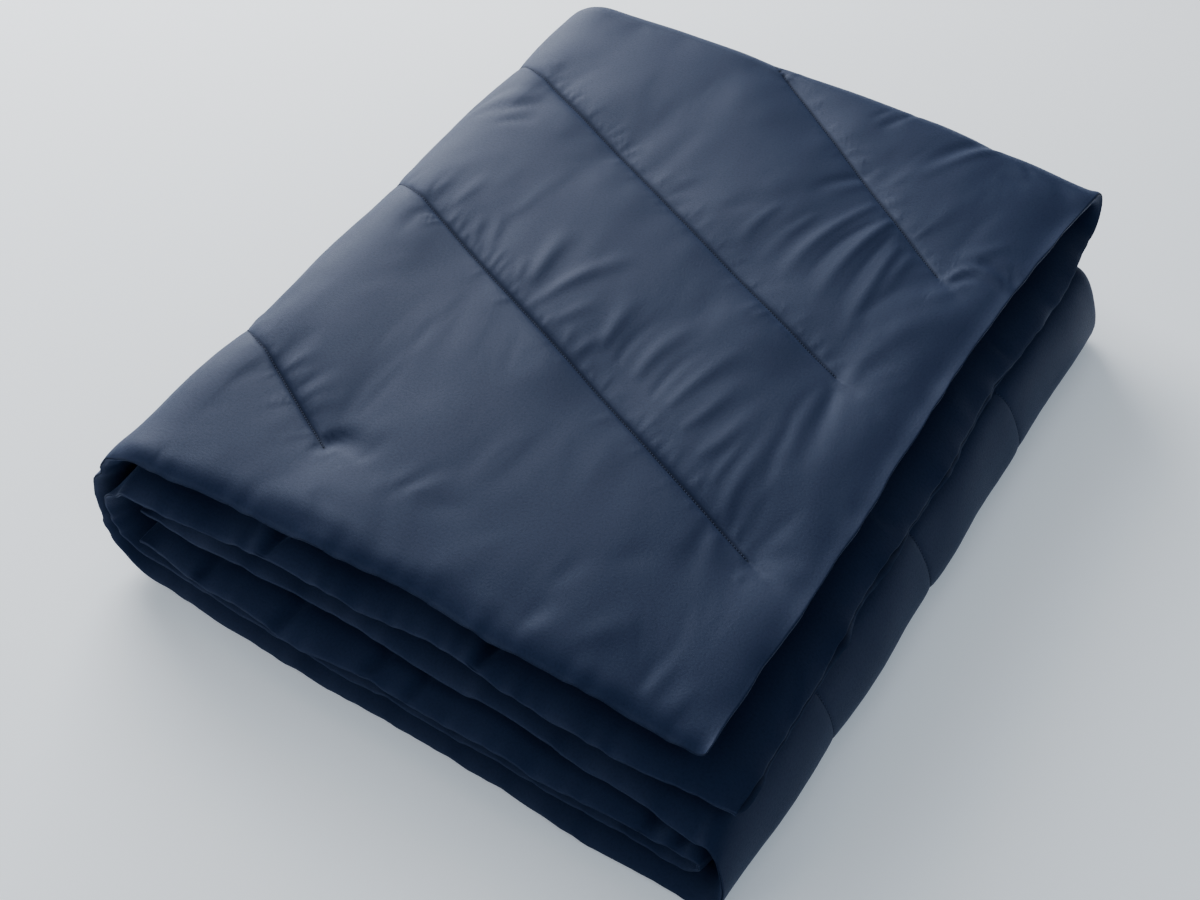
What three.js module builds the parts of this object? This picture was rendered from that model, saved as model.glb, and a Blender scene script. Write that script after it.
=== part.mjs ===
import * as THREE from "three";
import { mergeVertices } from "three/addons/utils/BufferGeometryUtils.js";

// A quilted blanket folded in half, with its half fold at the back, and then in thirds: the right third
// over the middle one, and the left third over both. Sizes are in millimetres. x runs from the left fold
// to the right fold, y from the front hems to the half fold, z up from the floor.
// The outer half of the cloth is layer 1 (top), 6 (bottom) and 3. The inner half is layer 2, 5 and 4.

// Filled cloth.
const HEM_THICK = 2.6;
const HEM_RUN = 30;
const HEM_DROP = 0.62;
const TOP_HEM_DROP = 0;
const SEAM_THICK = 8.5;
const SEAM_RUN = 19;
const SEAM_FADE = 26;
const BACK_LOFT = 10.5;

// Folded block.
const RIGHT_X = 536;
const WIDTH = 554;
const DEPTH = 660;
const FRONT_FLARE = 9;
const FRONT_FLARE_RUN = 16;
const BACK_ROOM = 2;
const WAVE_RUN = 70;
const WAVE_ENDS = 0.15;
const SHOULDER = 430;
const SHOULDER_RUN = 80;

// Parts of the path along which the doubled cloth is folded, in order. x and z are the middle of the cloth
// and loft is its thickness. drop is how far a run sinks at a hem, as a share of half the thickness that it
// loses there. reach is how far a fold bulges past its runs, square makes it boxier, skew below 1 brings
// its furthest point nearer to its start, and hold keeps its outward face in place at a hem.
const PATH = {
  outer: [
    { part: "top", x0: 493, x1: 32, z: 121.5, loft: 18, drop: TOP_HEM_DROP },
    { part: "left", side: -1, reach: 48, square: 0.8, skew: 1, loft: 12, hold: 0 },
    { part: "bottom", x0: 30, x1: 500, z: 7.8, loft: 16, drop: HEM_DROP },
    { part: "right", side: 1, reach: 24, square: 0.9, skew: 0.62, loft: 11, hold: 1 },
    { part: "middle", x0: 500, x1: 14, z: 69.5, loft: 15, drop: HEM_DROP },
  ],
  inner: [
    { part: "top", x0: 520, x1: 32, z: 94, loft: 15, drop: HEM_DROP },
    { part: "left", side: -1, reach: 35, square: 0.75, skew: 1, loft: 11, hold: 0 },
    { part: "bottom", x0: 30, x1: 494, z: 28.5, loft: 13, drop: HEM_DROP },
    { part: "right", side: 1, reach: 12, square: 1, skew: 1, loft: 11.5, hold: 0 },
    { part: "middle", x0: 494, x1: 18, z: 48.8, loft: 13, drop: HEM_DROP },
  ],
};
const PARTS = PATH.outer.length;

// Front hems: y at even steps along each run, in the order in which the path goes.
const FRONT = {
  outer: {
    top: [12, 15, 15, 21, 17, 16, 10],
    bottom: [-4, -9, -12, -12, -14, -19, -18],
    middle: [-7, -2, 3, 5, 10, 6, 8],
  },
  inner: {
    top: [9, 0, 5, 11, 8, 7, 0],
    bottom: [-1, -5, -8, -8, -9, -9, -6],
    middle: [-9, -14, -15, -13, -16, -11, -3],
  },
};

// Start of the half fold: y at even steps along each run.
const BACK = {
  top: [646, 654, 662, 664, 665, 664, 661],
  bottom: [656, 658, 656, 652, 648, 636, 616],
  middle: [616, 634, 642, 646, 650, 652, 654],
};

// Free right hems of the left third: x at even steps from the front to the back.
const RIGHT_HEM = {
  outer: [493, 493, 492, 488, 486, 490, 498],
  inner: [523, 520, 513, 513, 507, 512, 506],
};

// How far each fold stands out past its place, at even steps from the front to the back.
const LEFT_OUT = [-5, -2, 1, 5, 10, 14, 16];
const RIGHT_OUT = [-2, 2, 2, 3, 2, 1, 0];

// Unevenness of each front hem: height, length and start of its waves.
const WAVES = {
  outer: [
    { part: "top", high: 1.6, long: 170, start: 0.4 },
    { part: "middle", high: 2.2, long: 120, start: 2.1 },
  ],
  inner: [
    { part: "top", high: 2.4, long: 145, start: 1.2 },
    { part: "middle", high: 2.2, long: 105, start: 0.3 },
    { part: "bottom", high: 1.4, long: 90, start: 2.6 },
  ],
};

// Quilting seams of the outer half. u is the way along the cloth from the free right hem, deep is how far a
// seam draws the faces together, and over is the share of that which is left past the left shoulder.
const SEAMS = [
  { u0: 362, y0: 91, u1: 640, y1: 246, deep: 1, over: 0.45 },
  { u0: 53, y0: 162, u1: 640, y1: 440, deep: 1, over: 0.45 },
  { u0: 77, y0: 350, u1: 640, y1: 640, deep: 1, over: 0.45 },
  { u0: 59, y0: 492, u1: 300, y1: 674, deep: 1, over: 1 },
  { u0: 1080, y0: 140, u1: 1280, y1: 116, deep: 0.4, over: 1 },
  { u0: 1080, y0: 298, u1: 1280, y1: 272, deep: 0.6, over: 1 },
  { u0: 1080, y0: 468, u1: 1280, y1: 430, deep: 0.4, over: 1 },
];

// How closely each part of the path, and each face, is divided.
const RING_STEPS = { top: 22, left: 10, bottom: 6, right: 10, middle: 12 };
const HEM_STEPS = [0, 4, 13, 26];
const SEAM_ROWS = 42;
const PLAIN_ROWS = 9;
const FOLD_ROWS = 6;

// q is the place across the cloth: 0 to 1 over the outer half from its front hem, 1 to 2 round the half
// fold, 2 to 3 over the inner half to its front hem. A face is the outward one or the inward one.
const LAST_Q = 3;
const OUTWARD = 1;
const INWARD = -1;
const NUDGE = 1e-3;

const mix = (a, b, t) => a + (b - a) * t;
const ease = (t) => (1 - Math.cos(Math.PI * t)) / 2;
const clamp = (t, low, high) => Math.min(Math.max(t, low), high);
const isRun = (row) => "x0" in row;

// A value of a short table of even steps, eased from one step to the next.
function along(table, t) {
  const at = clamp(t, 0, 1) * (table.length - 1);
  const k = Math.min(Math.floor(at), table.length - 2);
  return mix(table[k], table[k + 1], ease(at - k));
}

// Which part of the path a place p is on, and how far along it.
function partAt(p) {
  const k = clamp(Math.floor(p), 0, PARTS - 1);
  return { k, t: p - k };
}

// A table's value along the path: eased along the runs, and from run to run through a fold.
function alongPath(tables, p) {
  const { k, t } = partAt(p);
  const path = PATH.outer;
  if (isRun(path[k])) {
    return along(tables[path[k].part], t);
  }
  const before = tables[path[k - 1].part];
  const after = tables[path[k + 1].part];
  return mix(before.at(-1), after[0], ease(clamp(t, 0, 1)));
}

// Way along one half of the cloth from its free right hem to the start of each part, and to its end.
// A fold is half of an ellipse.
function partStarts(path) {
  const starts = [0];
  path.forEach((row, k) => {
    let long;
    if (isRun(row)) {
      long = Math.abs(row.x1 - row.x0);
    } else {
      const rise = Math.abs(path[k + 1].z - path[k - 1].z);
      long = Math.PI * Math.SQRT1_2 * Math.hypot(row.reach, rise / 2);
    }
    starts.push(starts[k] + long);
  });
  return starts;
}
const STARTS = { outer: partStarts(PATH.outer), inner: partStarts(PATH.inner) };

function wayAlong(cloth, p) {
  const { k, t } = partAt(p);
  return mix(STARTS[cloth][k], STARTS[cloth][k + 1], t);
}

// Thickness of the cloth between its seams.
function loftAt(cloth, p) {
  const { k, t } = partAt(p);
  const path = PATH[cloth];
  if (isRun(path[k])) {
    return path[k].loft;
  }
  const share = clamp(t, 0, 1);
  const run = mix(path[k - 1].loft, path[k + 1].loft, share);
  return mix(run, path[k].loft, Math.sin(Math.PI * share));
}

const frontAt = (cloth, p) => alongPath(FRONT[cloth], p);
const backAt = (p) => alongPath(BACK, p);

// How full the cloth is at this distance from a hem: 0 at the hem, 1 where the filling is whole.
function fullness(away) {
  const short = 1 - clamp(away / HEM_RUN, 0, 1);
  return Math.sqrt(1 - short * short);
}

function hemFullness(cloth, p, y) {
  const u = wayAlong(cloth, p);
  const whole = STARTS[cloth][PARTS];
  return fullness(y - frontAt(cloth, p)) * fullness(u) * fullness(whole - u);
}

// Middle of one half of the cloth, at place p of the path and depth y.
function clothAt(cloth, p, y) {
  const { k, t } = partAt(p);
  const path = PATH[cloth];
  const row = path[k];
  const front = Math.max(y - frontAt(cloth, p), 0);
  const lost = ((1 - hemFullness(cloth, p, y)) * (loftAt(cloth, p) - HEM_THICK)) / 2;
  let x;
  let z;
  if (isRun(row)) {
    const x0 = row.part === "top" ? along(RIGHT_HEM[cloth], y / DEPTH) : row.x0;
    x = mix(x0, row.x1, t);
    z = row.z - row.drop * lost;
  } else {
    const from = path[k - 1];
    const to = path[k + 1];
    const flare = FRONT_FLARE * Math.exp(-front / FRONT_FLARE_RUN);
    const stand = cloth === "outer" ? along(RIGHT_OUT, y / DEPTH) : 0;
    const more = row.part === "left" ? flare : stand;
    const turned = Math.max(Math.sin(Math.PI * t), 0);
    const bulge = Math.max(Math.sin(Math.PI * Math.pow(t, row.skew)), 0);
    const out = (row.reach + more) * Math.pow(bulge, row.square) + row.hold * turned * lost;
    x = mix(from.x1, to.x0, ease(t)) + row.side * out;
    z = mix(from.z, to.z, ease(t)) - (1 - turned) * mix(from.drop, to.drop, ease(t)) * lost;
  }
  const wave = WAVES[cloth].find((w) => w.part === row.part);
  if (wave) {
    const phase = (2 * Math.PI * x) / wave.long + wave.start;
    const still = ease(clamp(t / WAVE_ENDS, 0, 1)) * ease(clamp((1 - t) / WAVE_ENDS, 0, 1));
    z += wave.high * still * Math.sin(phase) * Math.exp(-front / WAVE_RUN);
  }
  return { x: RIGHT_X - (RIGHT_X - x) * (1 + along(LEFT_OUT, y / DEPTH) / WIDTH), z };
}

// Middle of the cloth at place p of the path and place q across it.
function middleAt(p, q) {
  const back = backAt(p);
  if (q <= 1) {
    const y = mix(frontAt("outer", p), back, q);
    const { x, z } = clothAt("outer", p, y);
    return new THREE.Vector3(x, y, z);
  }
  if (q >= 2) {
    const y = mix(back, frontAt("inner", p), q - 2);
    const { x, z } = clothAt("inner", p, y);
    return new THREE.Vector3(x, y, z);
  }
  const a = clothAt("outer", p, back);
  const b = clothAt("inner", p, back);
  const turn = Math.PI * (q - 1);
  const share = (1 - Math.cos(turn)) / 2;
  const reach = Math.hypot(a.x - b.x, a.z - b.z) / 2 + BACK_ROOM;
  return new THREE.Vector3(mix(a.x, b.x, share), back + reach * Math.sin(turn), mix(a.z, b.z, share));
}

// Depth of the hollow along the quilting seams at a place of the outer half: 1 on a seam, 0 away from it.
function seamAt(u, y) {
  const past = ease(clamp((u - SHOULDER) / SHOULDER_RUN, 0, 1));
  let deep = 0;
  for (const seam of SEAMS) {
    const du = seam.u1 - seam.u0;
    const dy = seam.y1 - seam.y0;
    const long = Math.hypot(du, dy);
    const on = ((u - seam.u0) * du + (y - seam.y0) * dy) / long;
    const off = Math.abs((u - seam.u0) * dy - (y - seam.y0) * du) / long;
    const beyond = Math.max(-on, on - long, 0);
    const near = Math.exp(-off / SEAM_RUN) * Math.exp(-beyond / SEAM_FADE);
    deep = Math.max(deep, seam.deep * mix(1, seam.over, past) * near);
  }
  return deep;
}

function thickAt(p, q) {
  const back = backAt(p);
  if (q > 1 && q < 2) {
    const flat = mix(thickAt(p, 1), thickAt(p, 2), q - 1);
    return mix(flat, Math.min(flat, BACK_LOFT), Math.sin(Math.PI * (q - 1)));
  }
  const cloth = q <= 1 ? "outer" : "inner";
  const y = q <= 1 ? mix(frontAt(cloth, p), back, q) : mix(back, frontAt(cloth, p), q - 2);
  const thick = mix(HEM_THICK, loftAt(cloth, p), hemFullness(cloth, p, y));
  const deep = cloth === "outer" ? seamAt(wayAlong(cloth, p), y) : 0;
  return mix(thick, Math.min(thick, SEAM_THICK), deep);
}

// Direction from the middle of the cloth to the face that the half fold turns outwards.
function outwardAt(p, q) {
  const alongWay = middleAt(p + NUDGE, q).sub(middleAt(p - NUDGE, q));
  const acrossWay = middleAt(p, q + NUDGE).sub(middleAt(p, q - NUDGE));
  return acrossWay.cross(alongWay).normalize();
}

// A point of one face of the cloth. Nothing is below the floor.
function facePoint(p, q, face) {
  const point = middleAt(p, q).addScaledVector(outwardAt(p, q), (face * thickAt(p, q)) / 2);
  point.z = Math.max(point.z, 0);
  return point;
}

// Places of q over one half of the cloth: close together at the hem, then even.
function rowsOver(p, count) {
  const long = backAt(p) - frontAt("outer", p);
  const rows = HEM_STEPS.map((step) => step / long);
  const first = rows.at(-1);
  for (let i = 1; i <= count; i++) {
    rows.push(mix(first, 1, i / count));
  }
  return rows;
}

// Places of q where quilting seams cross the outer half at place p, from the front.
function seamPlaces(p) {
  const u = wayAlong("outer", p);
  const front = frontAt("outer", p);
  return SEAMS.filter((seam) => u >= seam.u0 && u <= seam.u1)
    .map((seam) => mix(seam.y0, seam.y1, (u - seam.u0) / (seam.u1 - seam.u0)))
    .map((y) => (y - front) / (backAt(p) - front))
    .sort((a, b) => a - b);
}

// The rows over the outer half: one on each seam, and even between them.
function seamRows(p) {
  const rows = rowsOver(p, SEAM_ROWS);
  const first = HEM_STEPS.length - 1;
  const last = rows.length - 1;
  const fixed = [{ row: first, q: rows[first] }];
  for (const q of seamPlaces(p)) {
    const row = Math.round(mix(first, last, (q - rows[first]) / (1 - rows[first])));
    if (row > fixed.at(-1).row && row < last) {
      fixed.push({ row, q });
    }
  }
  fixed.push({ row: last, q: 1 });
  fixed.slice(1).forEach((to, n) => {
    const from = fixed[n];
    for (let row = from.row + 1; row < to.row; row++) {
      rows[row] = mix(from.q, to.q, (row - from.row) / (to.row - from.row));
    }
    rows[to.row] = to.q;
  });
  return rows;
}

// One closed outline across the doubled cloth at place p, as lanes that share their end points.
function outlineAt(p) {
  const { k, t } = partAt(p);
  const name = PATH.outer[k].part;
  const quilted = name !== "bottom" && (name !== "middle" || t === 0);
  const plain = rowsOver(p, PLAIN_ROWS);
  const outer = quilted ? seamRows(p) : plain;
  const inner = plain.map((q) => LAST_Q - q).reverse();
  const fold = Array.from({ length: FOLD_ROWS + 1 }, (_, i) => 1 + i / FOLD_ROWS);
  const lane = (places, face) => places.map((q) => ({ q, at: facePoint(p, q, face) }));
  return {
    outward: [outer, fold, inner].map((places) => lane(places, OUTWARD)),
    inward: [plain, fold, inner].map((places) => lane(places, INWARD)),
  };
}

const corners = [];
function triangle(...points) {
  points.forEach((point) => corners.push(...point.at.toArray()));
}

// Triangles between two lanes: row by row, or by q where their rows differ.
function zip(a, b) {
  const alike = a.length === b.length;
  let i = 0;
  let j = 0;
  while (i < a.length - 1 || j < b.length - 1) {
    const endA = i === a.length - 1;
    const endB = j === b.length - 1;
    const stepB = !endB && (endA || (alike ? j <= i : b[j + 1].q <= a[i + 1].q));
    if (stepB) {
      triangle(a[i], b[j + 1], b[j]);
      j += 1;
    } else {
      triangle(a[i], a[i + 1], b[j]);
      i += 1;
    }
  }
}

// Places of the path: even in each part, closer at the free ends.
function pathPlaces() {
  const places = [];
  PATH.outer.forEach((row, k) => {
    const steps = RING_STEPS[row.part];
    const long = STARTS.outer[k + 1] - STARTS.outer[k];
    const near = HEM_STEPS.map((step) => step / long);
    const first = row.part === "top" ? near.at(-1) : 0;
    const last = row.part === "middle" ? 1 - near.at(-1) : 1;
    if (row.part === "top") {
      places.push(...near.slice(0, -1));
    }
    for (let i = 0; i < steps; i++) {
      places.push(k + mix(first, last, i / steps));
    }
    if (row.part === "middle") {
      places.push(...near.map((step) => PARTS - step).reverse());
    }
  });
  return places;
}

// The two front hems of an outline, each as a lane from face to face.
function hemLanes({ outward, inward }) {
  return [
    [inward.at(0).at(0), outward.at(0).at(0)],
    [outward.at(-1).at(-1), inward.at(-1).at(-1)],
  ];
}

const outlines = pathPlaces().map(outlineAt);
outlines.slice(1).forEach((next, n) => {
  const ring = outlines[n];
  ring.outward.forEach((lane, i) => zip(lane, next.outward[i]));
  next.inward.forEach((lane, i) => zip(lane, ring.inward[i]));
  const nextHems = hemLanes(next);
  hemLanes(ring).forEach((hem, i) => zip(hem, nextHems[i]));
});
const firstEnd = outlines.at(0);
const lastEnd = outlines.at(-1);
firstEnd.inward.forEach((lane, i) => zip(lane, firstEnd.outward[i]));
lastEnd.outward.forEach((lane, i) => zip(lane, lastEnd.inward[i]));

const soup = new THREE.BufferGeometry();
soup.setAttribute("position", new THREE.Float32BufferAttribute(corners, 3));
soup.computeBoundingBox();
const middle = soup.boundingBox.getCenter(new THREE.Vector3());
soup.translate(-middle.x, -middle.y, -soup.boundingBox.min.z);
const geometry = mergeVertices(soup);
geometry.computeVertexNormals();

const fabric = new THREE.MeshStandardMaterial({ color: 0x2c3a52, roughness: 0.62, metalness: 0 });
fabric.name = "navy quilted fabric";
const blanket = new THREE.Mesh(geometry, fabric);
blanket.name = "blanket";

const group = new THREE.Group();
group.name = "outdoor_blanket";
group.add(blanket);

export default group;
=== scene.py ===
import logging
import math
from dataclasses import dataclass, replace
from enum import Enum, IntEnum
from typing import Optional, Sequence, Union

import bpy
import numpy as np
from mathutils import Matrix, Vector


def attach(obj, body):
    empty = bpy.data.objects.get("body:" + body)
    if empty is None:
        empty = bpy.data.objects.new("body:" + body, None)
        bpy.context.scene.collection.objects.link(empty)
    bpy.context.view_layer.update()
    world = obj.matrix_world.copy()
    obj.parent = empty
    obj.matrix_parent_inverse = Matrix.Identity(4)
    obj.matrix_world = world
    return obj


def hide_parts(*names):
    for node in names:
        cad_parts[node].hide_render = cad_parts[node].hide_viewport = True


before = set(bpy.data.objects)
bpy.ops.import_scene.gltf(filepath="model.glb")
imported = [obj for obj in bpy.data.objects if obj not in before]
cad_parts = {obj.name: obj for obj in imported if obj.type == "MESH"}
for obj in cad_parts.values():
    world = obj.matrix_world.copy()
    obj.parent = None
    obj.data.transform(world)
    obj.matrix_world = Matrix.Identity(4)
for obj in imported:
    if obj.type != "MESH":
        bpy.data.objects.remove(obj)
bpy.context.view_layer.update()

# A quilted outdoor blanket, folded in half and then in thirds. Lengths of the cloth are in millimetres:
# x from the left fold to the right fold, y from the front hems to the half fold, z up from the floor.
# p is a place of the path along which the doubled cloth is folded, one unit a part. q is a place across
# it: 0 to 1 over the outer half from its front hem, 1 to 2 round the half fold, 2 to 3 over the inner
# half. u is the way along the cloth from the free right hem, v the way across it from the front.

MM = 0.001
ORIGIN = np.array([246.861, 333.174, 0.0])
NUDGE = 1e-3
PARTS = 5
Q_END = 3.0

log = logging.getLogger("blanket")
Array = np.ndarray
Colour = tuple[float, float, float]
Place = tuple[float, float]
Span = tuple[float, float]
Value = Union["Wire", float, Sequence[float]]


class Half(Enum):
    """The two halves of the cloth, on either side of the half fold."""

    OUTER = "outer"
    INNER = "inner"


class Part(IntEnum):
    """The parts of the folded path, in order: three runs with two folds between them."""

    TOP = 0
    LEFT = 1
    BOTTOM = 2
    RIGHT = 3
    MIDDLE = 4


class Side(IntEnum):
    """The two faces of the cloth: the one that the half fold turns outwards, and the other one."""

    OUTWARD = 1
    INWARD = -1


def mix(a: Array, b: Array, t: Array) -> Array:
    """A value between a and b, at share t."""
    return a + (b - a) * t


def ease(t: Array) -> Array:
    """A share from 0 to 1, slow at both ends."""
    return (1 - np.cos(np.pi * t)) / 2


def smooth(t: Array) -> Array:
    """The eased share of any number: 0 below 0 and 1 above 1."""
    return ease(np.clip(t, 0, 1))


def unit(vectors: Array) -> Array:
    """Rows of vectors, each made one long."""
    return vectors / np.linalg.norm(vectors, axis=1)[:, None]


def along(table: Sequence[float], t: Array) -> Array:
    """Reads a short table of even steps, eased from one step to the next.

    Args:
        table: The values at even steps.
        t: Shares of the table's length.

    Returns:
        One value for each share.
    """
    steps = np.asarray(table, float)
    at = np.clip(t, 0, 1) * (len(steps) - 1)
    k = np.minimum(at.astype(int), len(steps) - 2)
    return mix(steps[k], steps[k + 1], ease(at - k))


def add_object(name: str, data: bpy.types.ID) -> bpy.types.Object:
    """Puts a mesh, a light or a camera into the scene.

    Args:
        name: The object's name.
        data: What it shows.

    Returns:
        The object.
    """
    made = bpy.data.objects.new(name, data)
    bpy.context.scene.collection.objects.link(made)
    return made


def add_mesh(name: str, points: Array, faces: Array) -> bpy.types.Object:
    """Makes a mesh and puts it into the scene.

    Args:
        name: The name of the mesh and its object.
        points: The points, in metres.
        faces: The point numbers of each face.

    Returns:
        The object.
    """
    mesh = bpy.data.meshes.new(name)
    mesh.from_pydata(points.tolist(), [], faces.tolist())
    mesh.update()
    return add_object(name, mesh)


@dataclass(frozen=True)
class Run:
    """A level run of the path: where the middle of its cloth starts and ends, its height and thickness.

    Drop is how far it sinks at a hem, as a share of half the thickness that it loses there.
    """

    x0: float
    x1: float
    z: float
    loft: float
    drop: float = 0.62


@dataclass(frozen=True)
class Bend:
    """A fold of the path: its side, how far it bulges past its runs, how boxy it is, and its thickness.

    Skew below 1 brings its furthest point nearer to its start, and hold keeps its outward face in place
    at a hem.
    """

    side: int
    reach: float
    square: float
    loft: float
    skew: float = 1.0
    hold: float = 0.0


@dataclass(frozen=True)
class Ripple:
    """An uneven wave along a line: its height, shortest and longest waves, and how far in it fades.

    Least is the smallest share that one of its waves may have.
    """

    high: float
    short: float
    long: float
    fade: float
    seed: int
    waves: int = 7
    least: float = 0.5

    def at(self, s: Array) -> Array:
        """Height of the wave at places s of the line.

        Args:
            s: Places of the line.

        Returns:
            One height for each place.
        """
        rng = np.random.default_rng(self.seed)
        lengths = np.geomspace(self.short, self.long, self.waves)
        starts = rng.uniform(0, 2 * np.pi, self.waves)
        sizes = rng.uniform(self.least, 1.0, self.waves) * np.sqrt(lengths / self.long)
        total = sum(a * np.sin(2 * np.pi * s / w + b) for a, w, b in zip(sizes, lengths, starts))
        return self.high * total / np.sqrt(np.sum(sizes**2) / 2)


@dataclass(frozen=True)
class Wave:
    """A long wave of a front hem: height, length and start."""

    high: float
    long: float
    start: float


@dataclass(frozen=True)
class Slit:
    """A place where the two edges of the second layer's right hem part: depth, half length and gap."""

    y: float
    half: float
    gap: float


@dataclass(frozen=True)
class FoldPath:
    """Middle of the folded cloth, as a surface over p and q."""

    right_x: float = 536.0
    width: float = 554.0
    depth: float = 660.0
    hem_thick: float = 2.2
    hem_run: float = 34.0
    hem_round: float = 0.92
    top_hem_run: float = 22.0
    top_end_run: float = 11.0
    top_hem_round: float = 0.7
    sag: tuple = (8, 8, 8, 8, 8, 6, 0)
    sag_run: float = 26.0
    slit_run: float = 10.0
    slit_deep: float = 1.2
    slit_apart: float = 1.0
    corner_run: float = 45.0
    corner_long: float = 45.0
    flare: float = 9.0
    flare_run: float = 16.0
    back_room: float = 2.0
    wave_run: float = 70.0
    wave_ends: float = 0.15
    left_out: tuple = (-5, -2, 1, 5, 10, 14, 16)
    right_out: tuple = (-2, 2, 2, 3, 2, 1, 0)

    PATH = {
        Half.OUTER: (
            Run(x0=493, x1=32, z=121.5, loft=18, drop=0),
            Bend(side=-1, reach=48, square=0.8, loft=12),
            Run(x0=30, x1=500, z=7.8, loft=16),
            Bend(side=1, reach=24, square=0.9, loft=11, skew=0.62, hold=1),
            Run(x0=500, x1=14, z=69.5, loft=15),
        ),
        Half.INNER: (
            Run(x0=520, x1=32, z=94, loft=15),
            Bend(side=-1, reach=34.2, square=0.75, loft=10.2),
            Run(x0=30, x1=494, z=28.5, loft=13),
            Bend(side=1, reach=12, square=1, loft=11.5),
            Run(x0=494, x1=18, z=48.8, loft=13),
        ),
    }
    FRONT = {
        Half.OUTER: {
            Part.TOP: (12, 15, 15, 21, 17, 16, 10),
            Part.BOTTOM: (-4, -9, -12, -12, -14, -19, -18),
            Part.MIDDLE: (-7, -2, 3, 5, 10, 6, 8),
        },
        Half.INNER: {
            Part.TOP: (9, 0, 5, 11, 8, 7, 0),
            Part.BOTTOM: (-1, -5, -8, -8, -9, -10, -10),
            Part.MIDDLE: (-11, -15, -15, -13, -16, -11, -3),
        },
    }
    BACK = {
        Part.TOP: (646, 654, 662, 664, 665, 664, 661),
        Part.BOTTOM: (656, 658, 656, 652, 648, 636, 616),
        Part.MIDDLE: (616, 634, 642, 646, 650, 652, 654),
    }
    RIGHT_HEM = {
        Half.OUTER: (493, 493, 492, 488, 486, 490, 498),
        Half.INNER: (520, 517, 510, 510, 504, 509, 503),
    }
    SLITS = (
        Slit(y=26, half=26, gap=5.0),
        Slit(y=90, half=30, gap=2.0),
        Slit(y=164, half=27, gap=6.0),
        Slit(y=238, half=29, gap=6.0),
        Slit(y=345, half=44, gap=3.5),
        Slit(y=430, half=28, gap=2.5),
    )
    CORNER_SAG = {Half.OUTER: 10.0, Half.INNER: 6.0}
    WAVES = {
        (Half.OUTER, Part.TOP): Wave(high=1.6, long=170, start=0.4),
        (Half.OUTER, Part.MIDDLE): Wave(high=2.2, long=120, start=2.1),
        (Half.INNER, Part.TOP): Wave(high=2.4, long=145, start=1.2),
        (Half.INNER, Part.MIDDLE): Wave(high=2.2, long=105, start=0.3),
        (Half.INNER, Part.BOTTOM): Wave(high=1.4, long=90, start=2.6),
    }
    HEM_RIPPLE = {
        Half.OUTER: Ripple(high=0.7, short=16, long=75, fade=9, seed=11),
        Half.INNER: Ripple(high=0.8, short=14, long=70, fade=9, seed=12),
    }
    BEND_RIPPLE = {
        (Half.OUTER, Part.LEFT): Ripple(high=1.3, short=12, long=44, fade=8, seed=31),
        (Half.INNER, Part.LEFT): Ripple(high=1.3, short=12, long=40, fade=9, seed=32),
        (Half.OUTER, Part.RIGHT): Ripple(high=0.4, short=14, long=60, fade=8, seed=33),
        (Half.INNER, Part.RIGHT): Ripple(high=1.3, short=11, long=30, fade=10, seed=34),
    }
    END_RIPPLE = {
        Half.OUTER: Ripple(high=0.5, short=30, long=140, fade=12, seed=21),
        Half.INNER: Ripple(high=0.6, short=18, long=110, fade=10, seed=22),
    }

    def split(self, p: Array) -> tuple[Array, Array]:
        """The part that each place p is on, and how far along it."""
        k = np.clip(np.floor(p).astype(int), 0, PARTS - 1)
        return k, p - k

    def along_path(self, tables: dict, p: Array) -> Array:
        """Reads one table a run along the path, eased from run to run through the folds.

        Args:
            tables: A table of even steps for each run.
            p: Places of the path.

        Returns:
            One value for each place.
        """
        k, t = self.split(p)
        value = np.zeros_like(p)
        for part in Part:
            on = k == part
            if part % 2 == 0:
                value[on] = along(tables[part], t[on])
            else:
                before, after = tables[Part(part - 1)][-1], tables[Part(part + 1)][0]
                value[on] = mix(before, after, smooth(t[on]))
        return value

    def starts(self, half: Half) -> Array:
        """Way along the cloth from its free right hem to the start of each part, and to its end.

        Args:
            half: Which half.

        Returns:
            Six lengths, in millimetres.
        """
        path, found = self.PATH[half], [0.0]
        for k, row in enumerate(path):
            if isinstance(row, Run):
                long = abs(row.x1 - row.x0)
            else:
                rise = abs(path[k + 1].z - path[k - 1].z)
                long = np.pi * math.hypot(row.reach, rise / 2) / math.sqrt(2)
            found.append(found[-1] + long)
        return np.array(found)

    def way(self, half: Half, p: Array) -> Array:
        """Way along the cloth, u, at places p of the path.

        Args:
            half: Which half.
            p: Places of the path.

        Returns:
            One way for each place.
        """
        k, t = self.split(p)
        starts = self.starts(half)
        return mix(starts[k], starts[k + 1], t)

    def place(self, half: Half, u: Array) -> Array:
        """Places p of the path at ways u along the cloth."""
        return np.interp(u, self.starts(half), np.arange(PARTS + 1.0))

    def loft(self, half: Half, p: Array) -> Array:
        """Thickness of the cloth between its seams.

        Args:
            half: Which half.
            p: Places of the path.

        Returns:
            One thickness for each place.
        """
        k, t = self.split(p)
        path = self.PATH[half]
        value = np.zeros_like(p)
        for part in Part:
            on = k == part
            value[on] = path[part].loft
            if part % 2:
                share = np.clip(t[on], 0, 1)
                run = mix(path[part - 1].loft, path[part + 1].loft, share)
                value[on] = mix(run, path[part].loft, np.sin(np.pi * share))
        return value

    def front(self, half: Half, p: Array) -> Array:
        """Depth y of the front hem of one half."""
        return self.along_path(self.FRONT[half], p)

    def back(self, p: Array) -> Array:
        """Depth y at which the half fold starts."""
        return self.along_path(self.BACK, p)

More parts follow.
